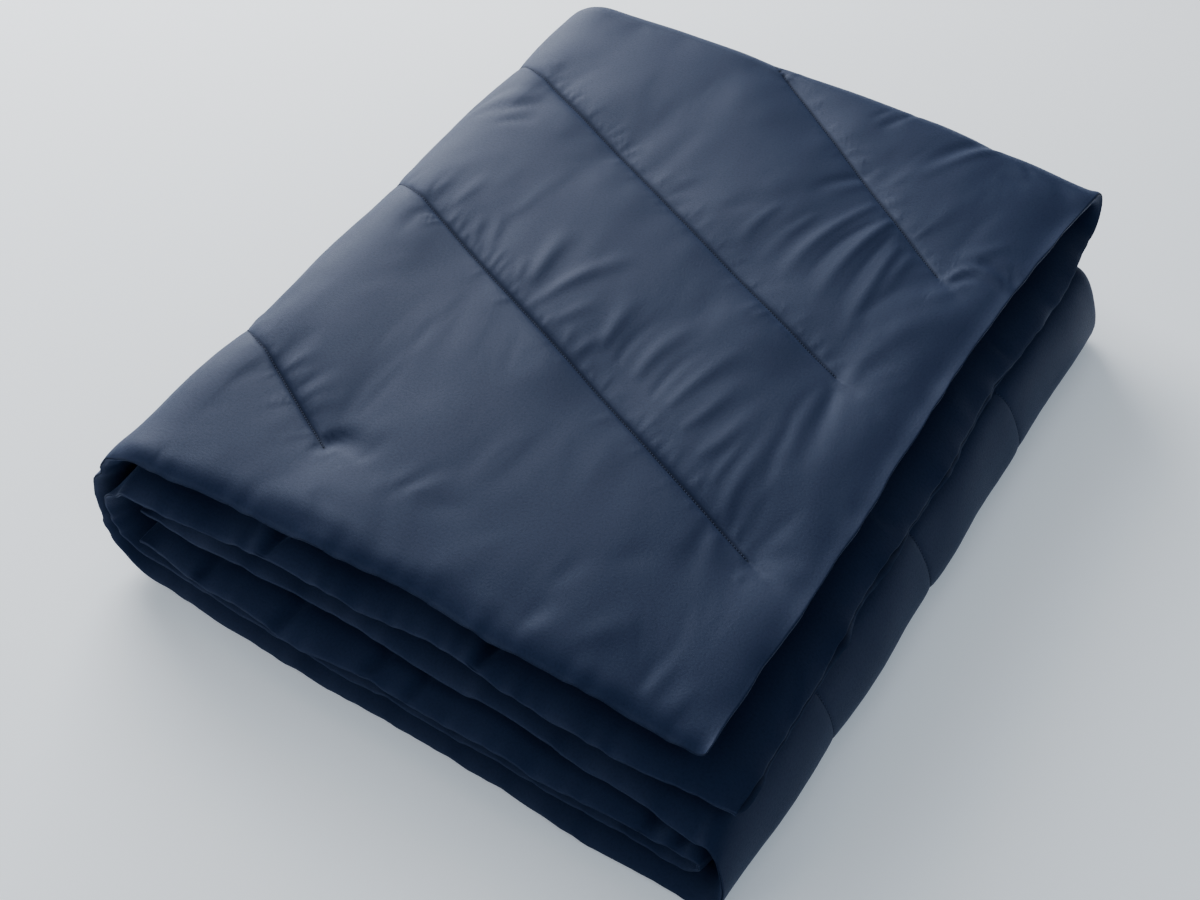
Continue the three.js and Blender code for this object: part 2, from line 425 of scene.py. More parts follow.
    def fullness(self, half: Half, p: Array, y: Array) -> Array:
        """How full the cloth is: 0 at a hem, 1 where the filling is whole.

        Args:
            half: Which half.
            p: Places of the path.
            y: Depths from the front.

        Returns:
            One share for each place.
        """
        u, whole = self.way(half, p), self.starts(half)[-1]
        k, t = self.split(p)
        top = np.select([k == Part.TOP, k == Part.LEFT], [1.0, 1 - smooth(t)])
        full, full_top = np.ones_like(p), np.ones_like(p)
        for away, top_run in (
            (y - self.front(half, p), self.top_hem_run),
            (u, self.top_end_run),
            (whole - u, self.top_hem_run),
        ):
            short = 1 - np.clip(away / self.hem_run, 0, 1)
            full = full * (1 - short**2) ** self.hem_round
            short = 1 - np.clip(away / top_run, 0, 1)
            full_top = full_top * (1 - short**2) ** self.top_hem_round
        return mix(full, full_top, top if half is Half.OUTER else 0.0)

    def open_by(self, u: Array, y: Array) -> Array:
        """How far the edges of the second layer's right hem are parted."""
        gap = sum(slit.gap * np.exp(-(((y - slit.y) / slit.half) ** 2)) for slit in self.SLITS)
        return gap * np.exp(-np.maximum(u, 0) / self.slit_run)

    def end_sag(self, u: Array, y: Array) -> Array:
        """How far the second layer sags at its free right hem."""
        sag = along(self.sag, y / self.depth) * np.exp(-np.maximum(u, 0) / self.sag_run)
        return sag - self.open_by(u, y) / 2

    def end_rise(self, u: Array) -> Array:
        """How far the top layer rises at its free right hem, so that its face stays level.

        Args:
            u: Ways along the cloth.

        Returns:
            One height for each way.
        """
        short = 1 - np.clip(u / self.top_end_run, 0, 1)
        lost = self.PATH[Half.OUTER][Part.TOP].loft - self.hem_thick
        return (1 - (1 - short**2) ** self.top_hem_round) * lost / 2

    def cloth(self, half: Half, p: Array, y: Array) -> tuple[Array, Array]:
        """Middle of one half of the cloth.

        Args:
            half: Which half.
            p: Places of the path.
            y: Depths from the front.

        Returns:
            x and z of the middle of the cloth.
        """
        k, t = self.split(p)
        path, u = self.PATH[half], self.way(half, p)
        front = np.maximum(y - self.front(half, p), 0)
        x, z = np.zeros_like(p), np.zeros_like(p)
        lost = (1 - self.fullness(half, p, y)) * (self.loft(half, p) - self.hem_thick) / 2
        for part in Part:
            on = k == part
            row, share = path[part], t[on]
            if isinstance(row, Run):
                first = along(self.RIGHT_HEM[half], y[on] / self.depth) if part == Part.TOP else row.x0
                x[on] = mix(first, row.x1, share)
                z[on] = row.z - row.drop * lost[on]
            else:
                before, after = path[part - 1], path[part + 1]
                turned = np.maximum(np.sin(np.pi * share), 0)
                bulge = np.maximum(np.sin(np.pi * share**row.skew), 0)
                if part == Part.LEFT:
                    more = self.flare * np.exp(-front[on] / self.flare_run)
                else:
                    more = along(self.right_out, y[on] / self.depth) * (half is Half.OUTER)
                crumple = self.BEND_RIPPLE[half, part]
                more = more + crumple.at(u[on]) * np.exp(-front[on] / crumple.fade)
                out = (row.reach + more) * bulge**row.square + row.hold * turned * lost[on]
                x[on] = mix(before.x1, after.x0, ease(share)) + row.side * out
                drop = (1 - turned) * mix(before.drop, after.drop, ease(share))
                z[on] = mix(before.z, after.z, ease(share)) - drop * lost[on]
            wave = self.WAVES.get((half, part))
            if wave:
                ends = smooth(share / self.wave_ends) * smooth((1 - share) / self.wave_ends)
                swing = np.sin(2 * np.pi * x[on] / wave.long + wave.start)
                z[on] += wave.high * ends * swing * np.exp(-front[on] / self.wave_run)
        hem, end = self.HEM_RIPPLE[half], self.END_RIPPLE[half]
        z += hem.at(u) * np.exp(-front / hem.fade)
        z += end.at(y) * np.exp(-np.maximum(u, 0) / end.fade)
        past = np.abs(u - self.starts(half)[Part.MIDDLE])
        z -= self.CORNER_SAG[half] * np.exp(-front / self.corner_run - past / self.corner_long)
        if half is Half.INNER:
            z -= self.end_sag(u, y)
        x += end.at(y + self.depth) * np.exp(-np.maximum(u, 0) / end.fade)
        wide = 1 + along(self.left_out, y / self.depth) / self.width
        return self.right_x - (self.right_x - x) * wide, z

    def middle(self, p: Array, q: Array) -> Array:
        """Middle of the folded cloth, as rows of x, y and z.

        Args:
            p: Places of the path.
            q: Places across the cloth.

        Returns:
            One row for each place.
        """
        back = self.back(p)
        outer_y = mix(self.front(Half.OUTER, p), back, np.minimum(q, 1))
        inner_y = mix(back, self.front(Half.INNER, p), np.maximum(q - 2, 0))
        outer_x, outer_z = self.cloth(Half.OUTER, p, outer_y)
        inner_x, inner_z = self.cloth(Half.INNER, p, inner_y)
        turn = np.pi * np.clip(q - 1, 0, 1)
        share = (1 - np.cos(turn)) / 2
        reach = np.hypot(outer_x - inner_x, outer_z - inner_z) / 2 + self.back_room
        y = np.where(q <= 1, outer_y, np.where(q >= 2, inner_y, back + reach * np.sin(turn)))
        return np.stack([mix(outer_x, inner_x, share), y, mix(outer_z, inner_z, share)], axis=1)

    def across(self, p: Array, q: Array) -> Array:
        """Direction of growing q along the middle of the cloth."""
        return unit(self.middle(p, q + NUDGE) - self.middle(p, q - NUDGE))

    def onward(self, p: Array, q: Array) -> Array:
        """Direction of growing p along the middle of the cloth."""
        return unit(self.middle(p + NUDGE, q) - self.middle(p - NUDGE, q))

    def outward(self, p: Array, q: Array) -> Array:
        """Direction from the middle of the cloth to its outward face."""
        return unit(np.cross(self.across(p, q), self.onward(p, q)))


@dataclass(frozen=True)
class Seam:
    """A straight quilting seam, by the places of its ends, and how far it draws the faces together.

    Over is the share of that which is left past the left shoulder. Gather is how much it puckers the
    cloth behind it, in even steps, and lean is the turn of those puckers.
    """

    u0: float
    v0: float
    u1: float
    v1: float
    deep: float
    over: float = 1.0
    gather: tuple = (0.4, 0.4)
    lean: float = 0.0

    def measure(self, u: Array, v: Array) -> tuple[Array, Array, Array]:
        """Where points lie about the seam.

        Args:
            u: Ways along the cloth.
            v: Ways across the cloth.

        Returns:
            How far each is along the seam, to one side of it, and past its ends.
        """
        du, dv = self.u1 - self.u0, self.v1 - self.v0
        on = ((u - self.u0) * du + (v - self.v0) * dv) / self.long
        off = ((v - self.v0) * du - (u - self.u0) * dv) / self.long
        return on, off, np.maximum(np.maximum(-on, on - self.long), 0)

    @property
    def long(self) -> float:
        """Length of the seam."""
        return math.hypot(self.u1 - self.u0, self.v1 - self.v0)


@dataclass(frozen=True)
class Crease:
    """A soft ridge (high above 0) or trough, from one place of the cloth to another.

    It is narrow at its start and spreads towards its end. Early and rush bring its highest point nearer to
    its start, dip is how deep the faces beside it sink, and far is where it is over, in widths.
    """

    start: Place
    end: Place
    wide: float
    high: float
    through: Optional[Place] = None
    steps: int = 10
    narrow: float = 0.85
    spread: float = 0.7
    early: float = 0.12
    rush: float = 0.8
    dip: float = 0.3
    dip_wide: float = 2.2
    far: float = 4.0

    def line(self) -> Array:
        """Places along the middle of the crease.

        Returns:
            Rows of u and v.
        """
        first, last = np.array(self.start, float), np.array(self.end, float)
        halfway = (first + last) / 2 if self.through is None else np.array(self.through, float)
        bend = 2 * halfway - (first + last) / 2
        t = np.linspace(0, 1, self.steps + 1)[:, None]
        return (1 - t) ** 2 * first + 2 * t * (1 - t) * bend + t**2 * last

    def lift(self, u: Array, v: Array) -> Array:
        """How far the crease moves the face outwards at places of the cloth.

        Args:
            u: Ways along the cloth.
            v: Ways across the cloth.

        Returns:
            One height for each place.
        """
        line, far = self.line(), self.far * self.wide
        low, high = line.min(axis=0) - far, line.max(axis=0) + far
        near = (u > low[0]) & (u < high[0]) & (v > low[1]) & (v < high[1])
        here = np.stack([u[near], v[near]], axis=1)
        away, share = np.full(len(here), np.inf), np.zeros(len(here))
        for n, (a, b) in enumerate(zip(line, line[1:])):
            t = np.clip((here - a) @ (b - a) / ((b - a) @ (b - a)), 0, 1)
            gap = np.linalg.norm(here - a - t[:, None] * (b - a), axis=1)
            share = np.where(gap < away, (n + t) / self.steps, share)
            away = np.minimum(gap, away)
        across = away / (self.wide * (self.narrow + self.spread * share))
        taper = np.sin(np.pi * (self.early + (1 - self.early) * share) ** self.rush)
        crest = (1 + self.dip) * np.exp(-(across**2))
        beside = self.dip * np.exp(-((across / self.dip_wide) ** 2))
        value = np.zeros_like(u)
        value[near] = self.high * taper * (crest - beside)
        return value


@dataclass(frozen=True)
class Swell:
    """Soft waves of the filling: their height, the shortest and the longest, and how many there are."""

    high: float
    short: float
    long: float
    count: int


@dataclass(frozen=True)
class Quilting:
    """The quilting of the cloth: seams, the puckers they draw, and the creases between them."""

    run: float = 19.0
    fade: float = 26.0
    thick: float = 8.5
    shoulder: float = 430.0
    shoulder_run: float = 80.0
    groove: float = 0.8
    groove_wide: float = 1.2
    shade_wide: float = 0.85
    valley: float = 2.0
    valley_run: float = 6.0
    end_run: float = 34.0
    end_deep: float = 0.05
    calm: float = 2.2
    crease_high: float = 0.7
    pucker_step: Span = (4.0, 7.5)
    pucker_long: Span = (9.0, 30.0)
    pucker_wide: Span = (2.2, 3.4)
    pucker_high: Span = (0.25, 0.9)
    pucker_turn: float = 0.28
    pucker_behind: float = 0.8
    pucker_seed: int = 5
    outer_seed: int = 6
    inner_seed: int = 7
    swell_turn: float = 0.7

    SEAMS = (
        Seam(u0=362, v0=91, u1=640, v1=246, deep=1.0, over=0.3, gather=(0.7, 1.0, 0.7)),
        Seam(
            u0=53, v0=162, u1=640, v1=440, deep=1.0, over=0.3, gather=(0.5, 0.6, 0.8, 1.1, 0.9), lean=-0.45
        ),
        Seam(u0=77, v0=350, u1=640, v1=640, deep=1.0, over=0.3, gather=(0.7, 0.6, 0.7, 0.7, 0.7)),
        Seam(u0=59, v0=492, u1=300, v1=674, deep=1.0, gather=(0.6, 0.5, 0.5)),
        Seam(u0=1080, v0=140, u1=1280, v1=116, deep=0.4),
        Seam(u0=1080, v0=298, u1=1280, v1=272, deep=0.6),
        Seam(u0=1080, v0=468, u1=1280, v1=430, deep=0.4),
    )
    SWELLS = (Swell(high=0.9, short=80, long=180, count=9), Swell(high=0.12, short=24, long=48, count=14))
    CREASES = {
        "before the first seam": (
            Crease(start=(458, 24), end=(448, 8), wide=4, high=-1.2),
            Crease(start=(398, 20), end=(390, 4), wide=6, high=-1.2),
            Crease(start=(332, 46), through=(320, 34), end=(314, 18), wide=7, high=-1.6),
        ),
        "first to second seam": (
            Crease(start=(406, 118), end=(392, 146), wide=5, high=0.6),
            Crease(start=(394, 112), end=(374, 140), wide=6, high=0.6),
            Crease(start=(434, 138), end=(420, 168), wide=5, high=0.5),
            Crease(start=(414, 128), end=(394, 164), wide=5, high=-0.5),
            Crease(start=(364, 92), through=(350, 102), end=(328, 90), wide=8, high=-4.0),
            Crease(start=(330, 90), through=(326, 106), end=(324, 126), wide=6, high=-0.6),
            Crease(start=(358, 82), through=(346, 88), end=(322, 82), wide=6, high=0.8),
            Crease(start=(300, 84), end=(296, 112), wide=6, high=-0.4),
            Crease(start=(302, 76), through=(296, 92), end=(280, 114), wide=7, high=0.5),
            Crease(start=(290, 80), through=(280, 98), end=(266, 122), wide=6, high=-0.7),
            Crease(start=(280, 84), end=(260, 114), wide=6, high=0.6),
            Crease(start=(262, 80), end=(230, 98), wide=9, high=-0.8),
        ),
        "front corner": (
            Crease(start=(150, 72), end=(144, 108), wide=7, high=-0.7),
            Crease(start=(150, 30), end=(144, 66), wide=8, high=-1.4),
            Crease(start=(110, 42), through=(98, 60), end=(78, 84), wide=9, high=1.2),
            Crease(start=(122, 112), end=(104, 138), wide=10, high=-0.8),
            Crease(start=(90, 170), through=(86, 150), end=(80, 118), wide=7, high=-1.3),
            Crease(start=(82, 170), through=(76, 150), end=(70, 118), wide=7, high=0.8),
            Crease(start=(60, 36), end=(58, 68), wide=6, high=-0.9),
            Crease(start=(52, 32), end=(52, 72), wide=6, high=0.8),
            Crease(start=(32, 32), end=(26, 54), wide=7, high=0.9),
            Crease(start=(26, 22), end=(14, 30), wide=6, high=-0.8),
            Crease(start=(50, 142), end=(48, 152), wide=4, high=0.8),
        ),
        "second to third seam": (
            Crease(start=(308, 304), through=(290, 348), end=(264, 384), wide=6.5, high=1.7),
            Crease(start=(326, 320), through=(330, 350), end=(330, 384), wide=7, high=1.8),
            Crease(start=(378, 334), through=(386, 356), end=(392, 376), wide=5, high=1.3),
            Crease(start=(338, 314), end=(346, 336), wide=4, high=0.9),
            Crease(start=(396, 334), end=(404, 360), wide=4, high=1.0),
            Crease(start=(382, 374), through=(374, 408), end=(368, 452), wide=6, high=0.6),
            Crease(start=(288, 284), end=(266, 324), wide=5, high=0.9),
            Crease(start=(256, 268), end=(246, 296), wide=5, high=1.1),
            Crease(start=(242, 286), through=(244, 312), end=(246, 346), wide=6, high=1.6),
            Crease(start=(204, 272), through=(200, 308), end=(186, 346), wide=6.5, high=1.5),
            Crease(start=(168, 256), through=(158, 298), end=(146, 336), wide=5.5, high=1.2),
            Crease(start=(224, 276), through=(224, 304), end=(216, 336), wide=4.5, high=-0.9),
            Crease(start=(184, 258), through=(180, 296), end=(166, 330), wide=4.5, high=-0.8),
            Crease(start=(148, 242), through=(138, 272), end=(132, 306), wide=5, high=0.9),
            Crease(start=(106, 208), through=(104, 246), end=(98, 282), wide=4.5, high=0.9),
            Crease(start=(124, 228), through=(114, 260), end=(108, 296), wide=7, high=1.5),
            Crease(start=(84, 186), through=(90, 222), end=(90, 294), wide=6, high=1.5),
            Crease(start=(70, 334), through=(64, 278), end=(60, 234), wide=8, high=-2.0),
            Crease(start=(462, 368), end=(453, 401), wide=5, high=-0.8),
            Crease(start=(432, 361), end=(424, 403), wide=5, high=0.8),
            Crease(start=(491, 479), through=(478, 511), end=(457, 535), wide=4.5, high=-1.3),
            Crease(start=(485, 472), through=(468, 502), end=(446, 524), wide=4.5, high=1.1),
            Crease(start=(479, 470), through=(457, 494), end=(436, 514), wide=4.5, high=-1.3),
            Crease(start=(457, 468), end=(429, 490), wide=5, high=-1.0),
        ),
        "third to fourth seam": (
            Crease(start=(286, 478), end=(270, 510), wide=6, high=0.5),
            Crease(start=(234, 472), through=(222, 490), end=(208, 512), wide=9, high=-0.8),
            Crease(start=(140, 542), through=(158, 466), end=(156, 416), wide=5.5, high=1.7),
            Crease(start=(118, 538), through=(126, 472), end=(124, 404), wide=5, high=1.9),
            Crease(start=(100, 504), through=(94, 438), end=(90, 384), wide=5, high=1.5),
            Crease(start=(130, 520), through=(141, 470), end=(140, 420), wide=4, high=-1.0),
            Crease(start=(110, 516), through=(110, 462), end=(106, 408), wide=4, high=-1.0),
            Crease(start=(172, 500), through=(180, 462), end=(182, 430), wide=5, high=0.9),
            Crease(start=(202, 494), through=(208, 462), end=(206, 434), wide=5, high=0.8),
            Crease(start=(86, 502), end=(86, 434), wide=5, high=1.0),
            Crease(start=(38, 484), through=(52, 462), end=(72, 446), wide=7, high=0.9),
            Crease(start=(66, 348), through=(60, 398), end=(22, 464), wide=9, high=2.2),
            Crease(start=(158, 570), end=(178, 530), wide=5, high=0.8),
            Crease(start=(160, 580), through=(182, 548), end=(186, 520), wide=5, high=-1.0),
        ),
        "behind the fourth seam": (
            Crease(start=(166, 670), through=(176, 650), end=(184, 630), wide=3.5, high=-1.2),
            Crease(start=(186, 664), end=(196, 640), wide=3, high=-0.8),
            Crease(start=(94, 664), through=(114, 646), end=(130, 598), wide=6, high=-2.2),
            Crease(start=(90, 658), through=(110, 630), end=(130, 578), wide=5, high=1.6),
            Crease(start=(140, 568), end=(130, 612), wide=5, high=0.6),
            Crease(start=(88, 540), end=(80, 590), wide=8, high=1.0),
            Crease(start=(30, 544), through=(44, 526), end=(54, 508), wide=6, high=1.2),
            Crease(start=(50, 494), through=(30, 511), end=(-14, 492), wide=4.5, high=2.0),
            Crease(start=(34, 521), through=(14, 517), end=(-24, 500), wide=5, high=-2.0),
            Crease(start=(44, 488), through=(26, 502), end=(0, 488), wide=5, high=-1.2),
            Crease(start=(64, 654), end=(48, 640), wide=3, high=-1.2),
            Crease(start=(30, 644), end=(8, 622), wide=7, high=-1.2),
            Crease(start=(66, 628), end=(46, 626), wide=7, high=-0.8),
        ),
    }
    INNER_CREASES = (
        Crease(start=(389, -4), end=(368, 66), wide=5, high=-8.0),
        Crease(start=(399, 2), end=(384, 50), wide=5, high=1.6),
        Crease(start=(206, -4), end=(188, 66), wide=5, high=-8.0),
        Crease(start=(216, 2), end=(202, 50), wide=5, high=1.6),
        Crease(start=(31, 477), end=(-4, 483), wide=4, high=-2.4),
        Crease(start=(26, 268), end=(-4, 275), wide=4, high=-2.4),
        Crease(start=(14, 118), end=(-4, 66), wide=4, high=-1.6),
        Crease(start=(24, 392), end=(8, 412), wide=9, high=2.2),
        Crease(start=(1512, -20), end=(1498, 30), wide=5, high=-6.0),
        Crease(start=(1432, -20), end=(1420, 30), wide=5, high=-6.0),
        Crease(start=(1352, -22), end=(1340, 30), wide=5, high=-6.0),
        Crease(start=(1317, -22), end=(1306, 30), wide=4, high=-5.0),
        Crease(start=(1126, -20), end=(1112, 30), wide=5, high=-6.0),
        Crease(start=(1112, -16), end=(1098, 22), wide=4, high=2.0),
        Crease(start=(1102, -14), end=(1090, 20), wide=3.5, high=-6.0),
    )

    def hollow(self, u: Array, v: Array) -> Array:
        """How deep the hollow along the seams is: 1 on a seam, 0 away from it.

        Args:
            u: Ways along the cloth.
            v: Ways across the cloth.

        Returns:
            One share for each place.
        """
        deep = np.zeros_like(u)
        for seam in self.SEAMS:
            _, off, past = seam.measure(u, v)
            near = np.exp(-np.abs(off) / self.run - (past / self.fade) ** 2)
            deep = np.maximum(deep, self.depth(seam, u) * near)
        return deep

    def past(self, u: Array, v: Array) -> Array:
        """How far places are past the ends of the seam that is nearest to them.

        Args:
            u: Ways along the cloth.
            v: Ways across the cloth.

        Returns:
            One length for each place.
        """
        found = np.stack([np.stack(seam.measure(u, v)[1:]) for seam in self.SEAMS])
        nearest = np.argmin(np.abs(found[:, 0]) + found[:, 1], axis=0)
        return np.take_along_axis(found[:, 1], nearest[None], axis=0)[0]

    def depth(self, seam: Seam, u: Array) -> Array:
        """How far a seam draws the faces together at ways u along the cloth."""
        past = smooth((u - self.shoulder) / self.shoulder_run)
        return seam.deep * mix(1.0, seam.over, past)

    def uneven(self, u: Array, v: Array, seed: int) -> Array:
        """Soft unevenness of the filling.

        Args:
            u: Ways along the cloth.
            v: Ways across the cloth.
            seed: Start of its random draws.

        Returns:
            One height for each place.
        """
        rng = np.random.default_rng(seed)
        total = np.zeros_like(u)
        for swell in self.SWELLS:
            high = swell.high * np.sqrt(2 / swell.count)
            for _ in range(swell.count):
                length, turn = rng.uniform(swell.short, swell.long), rng.normal(0, self.swell_turn)
                start = rng.uniform(0, 2 * np.pi)
                way = u * np.cos(turn) + v * np.sin(turn)
                total += high * np.sin(2 * np.pi * way / length + start)
        return total

    def puckers(self) -> list[Crease]:
        """Short creases that the stitches draw beside each seam, uneven in place, size and turn.

        Returns:
            The creases, seam by seam.
        """
        rng = np.random.default_rng(self.pucker_seed)
        found = []
        for seam in self.SEAMS:
            way = np.array([seam.u1 - seam.u0, seam.v1 - seam.v0]) / seam.long
            behind = math.atan2(way[0], -way[1])
            at = rng.uniform(*self.pucker_step)
            while at < seam.long:
                side = 0.0 if rng.uniform() < self.pucker_behind else math.pi
                turn = behind + side + (seam.lean if side == 0 else 0) + rng.normal(0, self.pucker_turn)
                start = np.array([seam.u0, seam.v0]) + way * at
                end = start + rng.uniform(*self.pucker_long) * np.array([math.cos(turn), math.sin(turn)])
                wide, high = rng.uniform(*self.pucker_wide), rng.uniform(*self.pucker_high)
                high = high * float(along(seam.gather, np.array([at / seam.long]))[0])
                found.append(Crease(tuple(start), tuple(end), wide, high, steps=1))
                at += rng.uniform(*self.pucker_step)
        return found

    def creased(self, u: Array, v: Array) -> Array:
        """How far creases and puckers lift the outer half's outward face.

        Args:
            u: Ways along the cloth.
            v: Ways across the cloth.

        Returns:
            One height for each place.
        """
        lift = np.zeros_like(u)
        for crease in [one for panel in self.CREASES.values() for one in panel] + self.puckers():
            lift += crease.lift(u, v)
        return self.crease_high * lift * (1 - self.band(u, v, self.calm))

    def valleys(self, u: Array, v: Array) -> Array:
        """How far both faces sink together beside the seams.

        Args:
            u: Ways along the cloth.
            v: Ways across the cloth.

        Returns:
            One depth for each place.
        """
        deep = np.zeros_like(u)
        for seam in self.SEAMS:
            on, off, past = seam.measure(u, v)
            inside = smooth(np.minimum(on, seam.long - on) / self.end_run)
            most = self.valley * self.depth(seam, u) * mix(self.end_deep, 1.0, inside)
            deep = np.maximum(deep, most * np.exp(-(np.abs(off) + past) / self.valley_run))
        return deep

    def band(self, u: Array, v: Array, wide: float) -> Array:
        """How near places are to a seam: 1 on it, 0 beside it, over a width.

        Args:
            u: Ways along the cloth.
            v: Ways across the cloth.
            wide: The width.

        Returns:
            One share for each place.
        """
        found = np.zeros_like(u)
        for seam in self.SEAMS:
            _, off, past = seam.measure(u, v)
            near = np.exp(-((off / wide) ** 2) - past / wide)
            found = np.maximum(found, self.depth(seam, u) * near)
        return found

    def inner_lift(self, u: Array, v: Array) -> Array:
        """How far the inner half's inward face stands out past its plain form.

        Args:
            u: Ways along the cloth.
            v: Ways across the cloth.

        Returns:
            One height for each place.
        """
        lift = self.uneven(u, v, self.inner_seed)
        for crease in self.INNER_CREASES:
            lift += crease.lift(u, v)
        return lift


@dataclass
class Relief:
    """How far a face stands out, as an even grid over u and v."""

    values: Array
    step: float
    inside: float = 1e-6

    def at(self, u: Array, v: Array) -> Array:
        """The relief at places of the cloth, between the grid's points.

        Args:
            u: Ways along the cloth.
            v: Ways across the cloth.

        Returns:
            One height for each place.
        """
        last = np.array(self.values.shape) - 1
        row = np.clip(u / self.step, 0, last[0] - self.inside)
        column = np.clip(v / self.step, 0, last[1] - self.inside)
        i, j = row.astype(int), column.astype(int)
        a, b = row - i, column - j
        low = mix(self.values[i, j], self.values[i, j + 1], b)
        high = mix(self.values[i + 1, j], self.values[i + 1, j + 1], b)
        return mix(low, high, a)

    def soften(self, times: int) -> None:
        """Smooths the grid a little, so many times over.

        Args:
            times: How many times.
        """
        for _ in range(times):
            for axis in (0, 1):
                wide = np.concatenate(
                    [self.values.take([0], axis), self.values, self.values.take([-1], axis)], axis
                )
                count = self.values.shape[axis]
                parts = [wide.take(range(n, n + count), axis) for n in range(3)]
                self.values = parts[0] / 4 + parts[1] / 2 + parts[2] / 4


class Wire:
    """A node's output socket that takes part in Python arithmetic."""

    LOW_COLOUR, HIGH_COLOUR, MIXED_COLOUR = 6, 7, 2

    def __init__(self, shader: "Shader", socket: bpy.types.NodeSocket) -> None:
        """Keeps the shader and the socket."""
        self.shader = shader
        self.socket = socket

    def _join(self, operation: str, first: Value, second: Optional[Value] = None) -> "Wire":
        """Adds a Math or Vector Math node.

        Args:
            operation: The node's operation.
            first: Its first operand.
            second: Its second operand, if it takes one.

        Returns:
            The node's result.
        """
        kind = "ShaderNodeVectorMath" if self.socket.type == "VECTOR" else "ShaderNodeMath"
        values = {0: first} if second is None else {0: first, 1: second}
        return self.shader.node(kind, {"operation": operation}, values)

    def __add__(self, other: Value) -> "Wire":
        """Sum."""
        return self._join("ADD", self, other)

    def __radd__(self, other: Value) -> "Wire":
        """Sum, from the right."""
        return self._join("ADD", other, self)

    def __sub__(self, other: Value) -> "Wire":
        """Difference."""
        return self._join("SUBTRACT", self, other)

    def __rsub__(self, other: Value) -> "Wire":
        """Difference, from the right."""
        return self._join("SUBTRACT", other, self)

    def __mul__(self, other: Value) -> "Wire":
        """Product."""
        return self._join("MULTIPLY", self, other)

    def __rmul__(self, other: Value) -> "Wire":
        """Product, from the right."""
        return self._join("MULTIPLY", other, self)

    def __truediv__(self, other: Value) -> "Wire":
        """Quotient."""
        return self._join("DIVIDE", self, other)

    def __rtruediv__(self, other: Value) -> "Wire":
        """Quotient, from the right."""
        return self._join("DIVIDE", other, self)

    def sine(self) -> "Wire":
        """Sine of the value."""
        return self._join("SINE", self)

    def blend(self, low: Value, high: Value) -> "Wire":
        """A colour between two, with this value as the share.

        Args:
            low: The colour at share 0.
            high: The colour at share 1.

        Returns:
            The colour.
        """
        return self.shader.node(
            "ShaderNodeMix",
            {"data_type": "RGBA", "clamp_factor": True},
            {"Factor": self, self.LOW_COLOUR: low, self.HIGH_COLOUR: high},
            output=self.MIXED_COLOUR,
        )


class Shader:
    """A material and the nodes that make it."""

    def __init__(self, name: str) -> None:
        """Starts a material with an empty node tree.

        Args:
            name: The material's name.
        """
        self.material = bpy.data.materials.new(name)
        self.material.use_nodes = True
        self.tree = self.material.node_tree
        self.tree.nodes.clear()

    def node(
        self,
        kind: str,
        settings: Optional[dict] = None,
        values: Optional[dict] = None,
        output: Union[int, str] = 0,
    ) -> Wire:
        """Adds one node.

        Args:
            kind: The node's type.
            settings: Properties, set before the sockets.
            values: What goes into each socket: a wire, a number or several numbers.
            output: The output that is returned.

        Returns:
            A wire from that output.
        """
        made = self.tree.nodes.new(kind)
        for name, value in (settings or {}).items():
            setattr(made, name, value)
        for name, value in (values or {}).items():
            if isinstance(value, Wire):
                self.tree.links.new(value.socket, made.inputs[name])
            else:
                made.inputs[name].default_value = value
        if not made.outputs:
            return Wire(self, made.inputs[0])
        return Wire(self, made.outputs[output])

    def body(self, values: dict) -> Wire:
        """Adds a Principled surface with these values in its sockets."""
        return self.node("ShaderNodeBsdfPrincipled", None, values)

    def surface(self, body: Wire) -> bpy.types.Material:
        """Finishes the material with a surface, and returns it."""
        self.node("ShaderNodeOutputMaterial", None, {"Surface": body})
        return self.material


